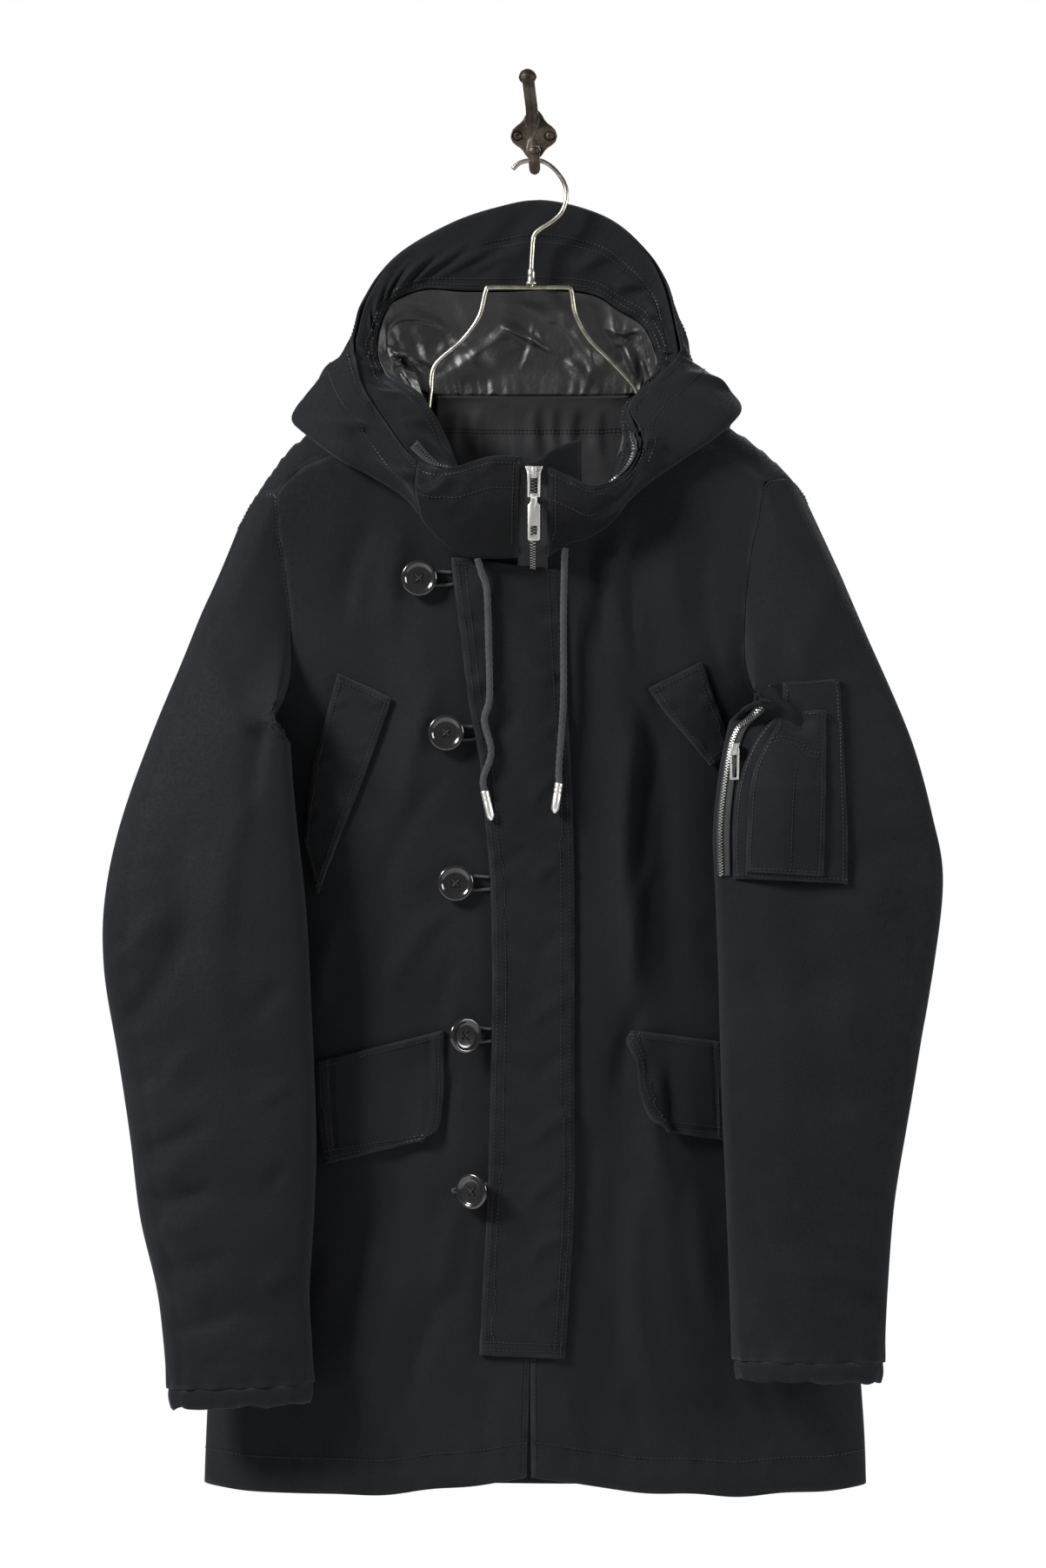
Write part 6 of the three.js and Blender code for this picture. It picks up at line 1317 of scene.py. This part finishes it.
def small_blocks(name, places, ahead, out, size, material):
    """Many small blocks in one mesh. Each is a box of a given length, width and height along three
    directions, its far corners drawn in a little."""
    ahead = ahead / np.linalg.norm(ahead, axis=1, keepdims=True)
    out = out - ahead * (out * ahead).sum(1, keepdims=True)
    out /= np.linalg.norm(out, axis=1, keepdims=True)
    side = np.cross(ahead, out)
    square = (-1, -1), (1, -1), (1, 1), (-1, 1)
    corner = np.array([[a, b, c] for c in (-1, 1) for a, b in square], float) / 2
    draw = np.where(corner[:, 2:] > 0, 0.7, 1.0)
    corner = corner * [size[0], size[1], size[2]] * np.concatenate([draw, draw, np.ones_like(draw)], 1)
    points = places[:, None] + ahead[:, None] * corner[None, :, :1] + side[:, None] * corner[None, :, 1:2] \
        + out[:, None] * corner[None, :, 2:]
    box = np.array([[0, 3, 2, 1], [4, 5, 6, 7], [0, 1, 5, 4], [1, 2, 6, 5], [2, 3, 7, 6], [3, 0, 4, 7]])
    faces = (box[None] + 8 * np.arange(len(places))[:, None, None]).reshape(-1, 4)
    made = mesh_piece(name, points.reshape(-1, 3), faces, None, material)
    made.data.polygons.foreach_set("use_smooth", np.zeros(len(faces), bool))
    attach(made, "coat")


def sample(points, normals, at):
    """Points and normals of a line at lengths along it."""
    run = np.concatenate([[0], np.cumsum(np.linalg.norm(np.diff(points, axis=0), axis=1))])
    where = np.stack([np.interp(at, run, points[:, k]) for k in range(3)], -1)
    facing = np.stack([np.interp(at, run, normals[:, k]) for k in range(3)], -1)
    ahead = np.stack([np.interp(at, run, np.gradient(points[:, k])) for k in range(3)], -1)
    return where, facing, ahead


def teeth(name, lines, pitch, size, apart):
    """Zip teeth: blocks along a tape's edge, in one or two rows that are half a pitch apart."""
    places, aheads, outs = [], [], []
    for points, normals in lines:
        length = np.linalg.norm(np.diff(points, axis=0), axis=1).sum()
        for row, shift in enumerate(apart):
            at = np.arange(pitch * (0.3 + 0.5 * row), length, pitch)
            where, facing, ahead = sample(points, normals, at)
            ahead /= np.linalg.norm(ahead, axis=1, keepdims=True)
            side = np.cross(ahead, facing)
            side /= np.linalg.norm(side, axis=1, keepdims=True)
            places.append(where + facing * size[2] * 0.5 + side * shift)
            aheads.append(ahead)
            outs.append(facing)
    small_blocks(name, np.concatenate(places), np.concatenate(aheads), np.concatenate(outs), size, dull_metal)


teeth("front_zip_teeth", [(zip_grid[:-3, 4], zip_normals[:-3, 4])], 2.4, (1.5, 3.0, 1.6), (-1.1, 1.1))
tape_line = sleeve_tape[0][:, 3] + sleeve_tape[1][:, 3] * 0.1, sleeve_tape[1][:, 3]
teeth("sleeve_zip_teeth", [tape_line], 2.2, (1.2, 2.4, 1.4), (-0.8, 0.8))

upper_lines = []
for name, low, high in (("right", 2, 4), ("left", 23, 26)):
    place, part = np.meshgrid(np.linspace(low, high, 50), np.linspace(0.12, 0.35, 8))
    hidden = facing_surface(place, part)
    facing_in = inward(hidden)
    grid = hidden + facing_in * (FACING + LAY + 1.2)
    normals = inward(grid)
    sew(f"upper_tape_{name}", f"upper_zip_{name}", grid, normals, LINING, tape_black, "braid", "laid",
        ["hood_facing"])
    upper_lines.append((grid[4], normals[4]))
teeth("upper_zip_teeth", upper_lines, 2.4, (1.3, 2.2, 1.2), (0.0,))

# Sliders and pulls
# Cast and plated. The front slider carries a link and a flat tab with a window, and the sleeve's slider a
# wire pull. Their edges are tumbled smooth.


def welded(node, name):
    """A copy of a node with its doubled points made one."""
    copy = bpy.data.objects.new(name, nodes[node].data.copy())
    bpy.context.scene.collection.objects.link(copy)
    weld = copy.modifiers.new("weld", "WELD")
    weld.merge_threshold = 1e-5
    return copy


def bake_shape(piece):
    """Makes the shape that a piece's modifiers give it its own mesh."""
    bpy.context.view_layer.update()
    baked = bpy.data.meshes.new_from_object(piece.evaluated_get(bpy.context.evaluated_depsgraph_get()))
    piece.modifiers.clear()
    piece.data = baked
    return baked


def coat_with(piece, material):
    """Gives a baked piece one material and smooth faces."""
    piece.data.materials.clear()
    piece.data.materials.append(material)
    piece.data.polygons.foreach_set("use_smooth", np.ones(len(piece.data.polygons), bool))


def softened(node, name, width, material):
    """A copy of a hard node with its flat faces joined and its edges rounded."""
    copy = welded(node, name)
    flat = copy.modifiers.new("flat", "DECIMATE")
    flat.decimate_type = "DISSOLVE"
    flat.angle_limit = math.radians(2)
    soft = copy.modifiers.new("soft", "BEVEL")
    soft.width = width
    soft.segments = 2
    soft.limit_method = "ANGLE"
    soft.angle_limit = math.radians(35)
    copy.data.materials.clear()
    bake_shape(copy)
    coat_with(copy, material)
    copy.data.set_sharp_from_angle(angle=math.radians(50))
    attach(copy, nodes[node]["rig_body"])
    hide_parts(node)


for node, width in (("zip_slider", 0.0004), ("zip_pull_link", 0.0003), ("zip_pull_tab", 0.0003),
                    ("sleeve_zip_slider", 0.0003), ("sleeve_zip_pull", 0.0003)):
    softened(node, f"{node}_metal", width, plated)

# Buttons and loops
# Five big turned buttons with a raised rim and four holes, each on a thread shank. A loop of elastic cord
# comes from under the placket round each.
button_rows = np.array([                            # x, z, turn, loop's reach past the middle
    [-88.6, -351.4, 0, 6], [-67.8, -470.6, 0, 6], [-60.4, -586.4, 0, 6], [-53.7, -703.5, 32, 6],
    [-47, -823.3, -32, 16]], float)
RADIUS, TALL, HOLE = 14.0, 4.0, 1.15
THREAD_WIDE, SHANK_WIDE, ELASTIC_WIDE = 1.1, 2.8, 2.2
LOOP_OPEN = 4.6                                     # half the way between the loop's two sides
button_profile = np.array([                         # radius, height
    [0.01, 0], [9.5, 0], [11.6, 0.3], [13.2, 1.0], [14, 1.9], [14, 2.6], [13.5, 3.5], [12.6, 4.0],
    [11.6, 3.95], [10.6, 3.4], [9.9, 2.8], [9.2, 2.5], [7.6, 2.35], [0.01, 2.3]], float)
polished, tree, shader, cloud, _ = mottled(
    "polished_black", "horn", (70, 800), (0.006, 0.006, 0.007), (0.016, 0.0155, 0.016), (0.12, 0.22))
shader.inputs["Coat Weight"].default_value = 0.5
shader.inputs["Coat Roughness"].default_value = 0.08
bump(tree, shader, cloud, 0.0001)
thread, tree, shader, _, tooth = mottled(
    "sewing_thread", "twill", (80, 1600), (0.003, 0.0031, 0.0036), (0.007, 0.0073, 0.008))
shader.inputs["Roughness"].default_value = 0.6
bump(tree, shader, tooth, 0.0001)


def turned(name, profile, foot, direction, sides, material):
    """A profile of radius and height turned round a direction, its first and last rings almost closed."""
    direction = np.asarray(direction, float)
    heights = np.asarray(foot, float) + direction * profile[:, 1:]
    other = np.cross(direction, [0.31, 0.2, 0.93])
    other /= np.linalg.norm(other)
    turn = 2 * np.pi * np.arange(sides)[:, None] / sides
    ring = other * np.cos(turn) + np.cross(direction, other) * np.sin(turn)
    points = heights[:, None] + ring[None] * profile[:, :1, None]
    return closed_tube(name, points, heights[0], heights[-1], material)


def cut_out(piece, cutters):
    """The piece less its cutters, which are then removed."""
    for cutter in cutters:
        cut = piece.modifiers.new("cut", "BOOLEAN")
        cut.operation = "DIFFERENCE"
        cut.solver = "EXACT"
        cut.object = cutter
    bake_shape(piece).set_sharp_from_angle(angle=math.radians(40))
    for cutter in cutters:
        bpy.data.objects.remove(cutter)


hole_profile = np.array([[0.01, -1.0], [HOLE, -1.0], [HOLE, 6], [0.01, 6]])
for name, (x, z, turn, loop) in enumerate(button_rows, 1):
    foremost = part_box(f"button_{name}")[0][1] * 1000
    cloth_y = float(front_y(np.array(x), np.array(z)))
    angle = math.radians(turn)
    faced = np.array([math.sin(angle), -math.cos(angle), 0])
    reach = TALL * math.cos(angle) + RADIUS * abs(math.sin(angle))
    seat = np.array([x, foremost + reach, z])
    disc = turned(f"button_disc_{name}", button_profile, seat, faced, 48, polished)
    across = np.cross([0, 0, 1.0], faced)
    corners = [seat + across * 2.5 * a + np.array([0, 0, 2.5 * b])
               for a, b in ((-1, -1), (1, -1), (1, 1), (-1, 1))]
    cut_out(disc, [turned("hole", hole_profile, corner, faced, 16, polished) for corner in corners])
    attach(disc, "coat")
    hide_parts(f"button_{name}")
    for part, (start, end) in enumerate(((corners[0], corners[2]), (corners[1], corners[3]))):
        crown = (start + end) / 2 + faced * (3.1 + 0.3 * part)
        arch = np.array([start + faced * 1.2, start + faced * 2.6, crown, end + faced * 2.6,
                         end + faced * 1.2])
        strand = round_bar(f"button_thread_{name}_{part}", even(arch, 0.5), THREAD_WIDE / 2, 8, thread)
        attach(strand, "coat")
    back_mid = seat + faced * 0.3
    neck_route = np.array([[x, cloth_y - 0.1, z], [x, cloth_y - 1.2, z], back_mid - faced * 0.9, back_mid])
    shank = round_bar(f"button_shank_{name}", even(neck_route, 0.4), SHANK_WIDE / 2, 10, thread)
    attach(shank, "coat")
    rim = lambda level: rows_at(placket_rows, place_of(placket_rows, 1, level))[..., 0] - 0.8
    top, foot = z + LOOP_OPEN, z - LOOP_OPEN
    loop_x = np.array([rim(top), (rim(top) + x) / 2, x, x - loop, x, (rim(foot) + x) / 2, rim(foot)], float)
    loop_z = np.array([top, top + 0.8, top, z, foot, foot - 0.8, foot], float)
    route = np.stack([loop_x, front_y(loop_x, loop_z) - 1.7, loop_z], 1)
    elastic = round_bar(f"loop_cord_{name}", even(route, 1.0), ELASTIC_WIDE / 2, 10, cotton_braid)
    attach(elastic, "coat")
    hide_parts(f"button_loop_{name}")

# Hanger
# One bent wire makes the bar and arms, and a second the hook, held by a crimped ferrule. The plating has
# dulled to a warm grey.
HANGER_WIRE = 3.7
arms = np.array([
    [-176, -44, -245], [-150, -44, -232.5], [-125, -44, -225], [-106, -44, -231], [-94, -44, -237],
    [-84, -43.5, -226], [-80.5, -43, -205], [-77, -42, -184], [-55.6, -42, -164], [-42.8, -42, -146],
    [-37.3, -42, -125.5], [-33, -42, -123.4], [-2, -42, -123.4], [25, -42, -123.4], [29, -42, -125.8],
    [32.4, -42, -144.4], [43.2, -42, -164], [62, -42, -183], [79, -43, -203], [86, -43.5, -224],
    [96, -44, -236], [108, -44, -232], [128, -44, -228], [150, -44, -237.5], [166, -44, -249]], float)
swan = np.array([
    [-16.4, -38, -30.1], [-11, -38, -25.6], [-4.2, -38, -23.9], [5.3, -38, -23.9], [14.2, -38, -28.7],
    [21.6, -39, -37.6], [25, -40, -45.9], [25, -41, -54.8], [21.6, -42, -64.5], [14.1, -42, -71.9],
    [4.6, -42, -78], [-0.1, -42, -83.4], [-1.4, -42, -95.6], [-2.1, -42, -109], [-2.1, -42, -123.4]], float)
dulled, tree, shader, _, tooth = mottled(
    "dulled_wire", "wire", (90, 1200), (0.30, 0.28, 0.23), (0.55, 0.52, 0.45), (0.26, 0.44), (0.35, 0.65))
shader.inputs["Metallic"].default_value = 1
bump(tree, shader, tooth, 0.00006)
wire = round_bar("hanger_wire", even(arms, 1.5), HANGER_WIRE / 2, 16, dulled)
crook = round_bar("hanger_crook", even(swan, 1.5), HANGER_WIRE / 2, 16, dulled)
for piece in (wire, crook):
    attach(piece, "coat")
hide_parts("hanger")
ferrule = turned("ferrule_sleeve", np.array([
    [1.9, 0], [3.7, 0], [4.2, 0.6], [4.4, 1.8], [3.6, 2.8], [3.1, 3.4], [3.0, 5.8], [2.8, 6.3], [3.0, 6.8],
    [3.05, 9], [2.7, 11.8], [2.3, 12.5], [1.9, 12.5]]), (-2.1, -42, -121.3), (0, 0, 1), 32, dulled)
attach(ferrule, "coat")
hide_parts("hanger_ferrule")

# Wall hook
# A sand-cast iron double hook: a lobed plate, an arm with a knob above and a prong below. Cast edges are
# rounded, and the brown lacquer is mottled lighter and darker.
cast_iron, tree, shader, _, tooth = mottled(
    "lacquered_iron", "iron", (55, 520), (0.030, 0.021, 0.016), (0.085, 0.066, 0.052), (0.38, 0.6),
    (0.4, 0.62))
shader.inputs["Metallic"].default_value = 0.7
grit = noise(tree, coords(tree, "Object"), 240)
bump(tree, shader, maths(tree, "MULTIPLY_ADD", grit, 1.0, tooth), 0.00025)


def cast(node, name, grain, rounds, material):
    """A copy of a node recast on an even net of small faces and rubbed smooth, as sand casting leaves it."""
    copy = welded(node, name)
    net = copy.modifiers.new("net", "REMESH")
    net.mode = "VOXEL"
    net.voxel_size = grain
    rub = copy.modifiers.new("rub", "SMOOTH")
    rub.iterations = rounds
    rub.factor = 0.5
    bake_shape(copy)
    coat_with(copy, material)
    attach(copy, nodes[node]["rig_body"])
    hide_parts(node)


cast("wall_hook", "wall_hook_casting", 0.0007, 5, cast_iron)
for node in ("screw_right", "screw_left"):
    softened(node, f"{node}_head", 0.0002, cast_iron)

# Sewing
# Black thread, about eight stitches to the inch: double rows on the placket and flaps, single rows round
# the hem, pockets, hood rim and seams.
STITCH, STITCH_STEP, STITCH_THICK = 2.5, 3.2, 0.85
rows_sewn = []


def on_grid(piece, rows, columns):
    """Points and normals of a grid between its rows and columns, weighed from the four about each."""
    grid, normals = piece
    rows, columns = np.broadcast_arrays(np.asarray(rows, float), np.asarray(columns, float))
    rows = np.clip(rows, 0, grid.shape[0] - 1.001)
    columns = np.clip(columns, 0, grid.shape[1] - 1.001)
    r, c = rows.astype(int), columns.astype(int)
    u, v = (rows - r)[:, None], (columns - c)[:, None]
    mix = lambda field: ((1 - u) * (1 - v) * field[r, c] + (1 - u) * v * field[r, c + 1]
                         + u * (1 - v) * field[r + 1, c] + u * v * field[r + 1, c + 1])
    return mix(grid), mix(normals)


def inset_line(piece, side, inset, start=0.0, end=1.0):
    """A line on a piece a given way in from one of its sides: left, right, top or foot of its grid. A piece
    that lies on the coat has its grid from the top down, so its foot is the edge that is worn uppermost."""
    grid = piece[0]
    rows, columns = grid.shape[:2]
    if side in ("left", "right"):
        line = grid if side == "left" else grid[:, ::-1]
        run = np.cumsum(np.linalg.norm(np.diff(line, axis=1), axis=2), 1)
        at = (run < inset).sum(1) + 0.5
        at = at if side == "left" else columns - 1 - at
        pick = slice(int(rows * start), max(int(rows * end), 2))
        return on_grid(piece, np.arange(rows)[pick], at[pick])
    line = grid if side == "foot" else grid[::-1]
    steps = np.linalg.norm(np.diff(line, axis=0), axis=2)
    run = np.concatenate([np.zeros((1, columns)), np.cumsum(steps, 0)])
    index = (run < inset).sum(0).clip(1, rows - 1)
    here = np.arange(columns)
    low, high = run[index - 1, here], run[index, here]
    at = index - 1 + (inset - low) / np.maximum(high - low, 1e-6)
    at = at if side == "foot" else rows - 1 - at
    pick = slice(int(columns * start), max(int(columns * end), 2))
    return on_grid(piece, at[pick], here[pick])


for side, inset in (("left", 3), ("left", 9), ("right", 3), ("right", 9), ("foot", 4), ("top", 4),
                    ("top", 10)):
    rows_sewn.append(inset_line(placket, side, inset))
for side in ("right", "left"):
    rows_sewn += [inset_line(flaps[side], way, inset) for way, inset in
                  (("left", 4), ("right", 4), ("top", 4), ("foot", 4), ("left", 9), ("top", 9))]
    rows_sewn += [inset_line(welts[side], way, 4) for way in ("left", "right", "foot", "top")]
    rows_sewn.append(inset_line(fronts[side][:2], "foot", 27))
    rows_sewn.append(inset_line(fronts[side][:2], "left", 5, 0.0, 0.62))
    rows_sewn.append(inset_line(sleeves[side], "foot", 0.5))
for way in ("left", "right", "foot", "top"):
    rows_sewn += [inset_line(pocket, way, 3), inset_line(pen_panel, way, 3)]
for node, ways in (("collar_right", ("left",)), ("hood_right", ()), ("hood_left", ()),
                   ("collar_left", ("right",))):
    rows_sewn += [inset_line(hood[node], "top", inset) for inset in (5, 24)]
    rows_sewn += [inset_line(hood[node], way, 5, 0.45) for way in ways]
rows_sewn += [inset_line(facing, "top", inset, 0.12, 0.9) for inset in (4, 9)]
rows_sewn.append(inset_line(back, "foot", 27))
rows_sewn += [on_grid(facing, np.full(70, row), np.linspace(134, 198, 70)) for row in (9.4, 11.6)]
rows_sewn += [inset_line(neck, "foot", inset, 0.04, 0.96) for inset in (26, 28.5)]
rows_sewn += [inset_line(pen_panel, "foot", inset, 0.06, 0.94) for inset in (34, 38)]
middle_rows = np.arange(int(len(pen_panel[0]) * 0.3), int(len(pen_panel[0]) * 0.97))
rows_sewn.append(on_grid(pen_panel, middle_rows, np.full(len(middle_rows), pen_panel[0].shape[1] * 0.55)))
places, aheads, outs = [], [], []
for points, normals in rows_sewn:
    length = np.linalg.norm(np.diff(points, axis=0), axis=1).sum()
    at = np.arange(STITCH_STEP / 2, length - STITCH_STEP / 4, STITCH_STEP)
    if len(at) > 1:
        where, out, ahead = sample(points, normals, at)
        out /= np.linalg.norm(out, axis=1, keepdims=True)
        places.append(where + out * 0.12)
        aheads.append(ahead)
        outs.append(out)
small_blocks("sewing", np.concatenate(places), np.concatenate(aheads), np.concatenate(outs),
             (STITCH, STITCH_THICK, STITCH_THICK), thread)
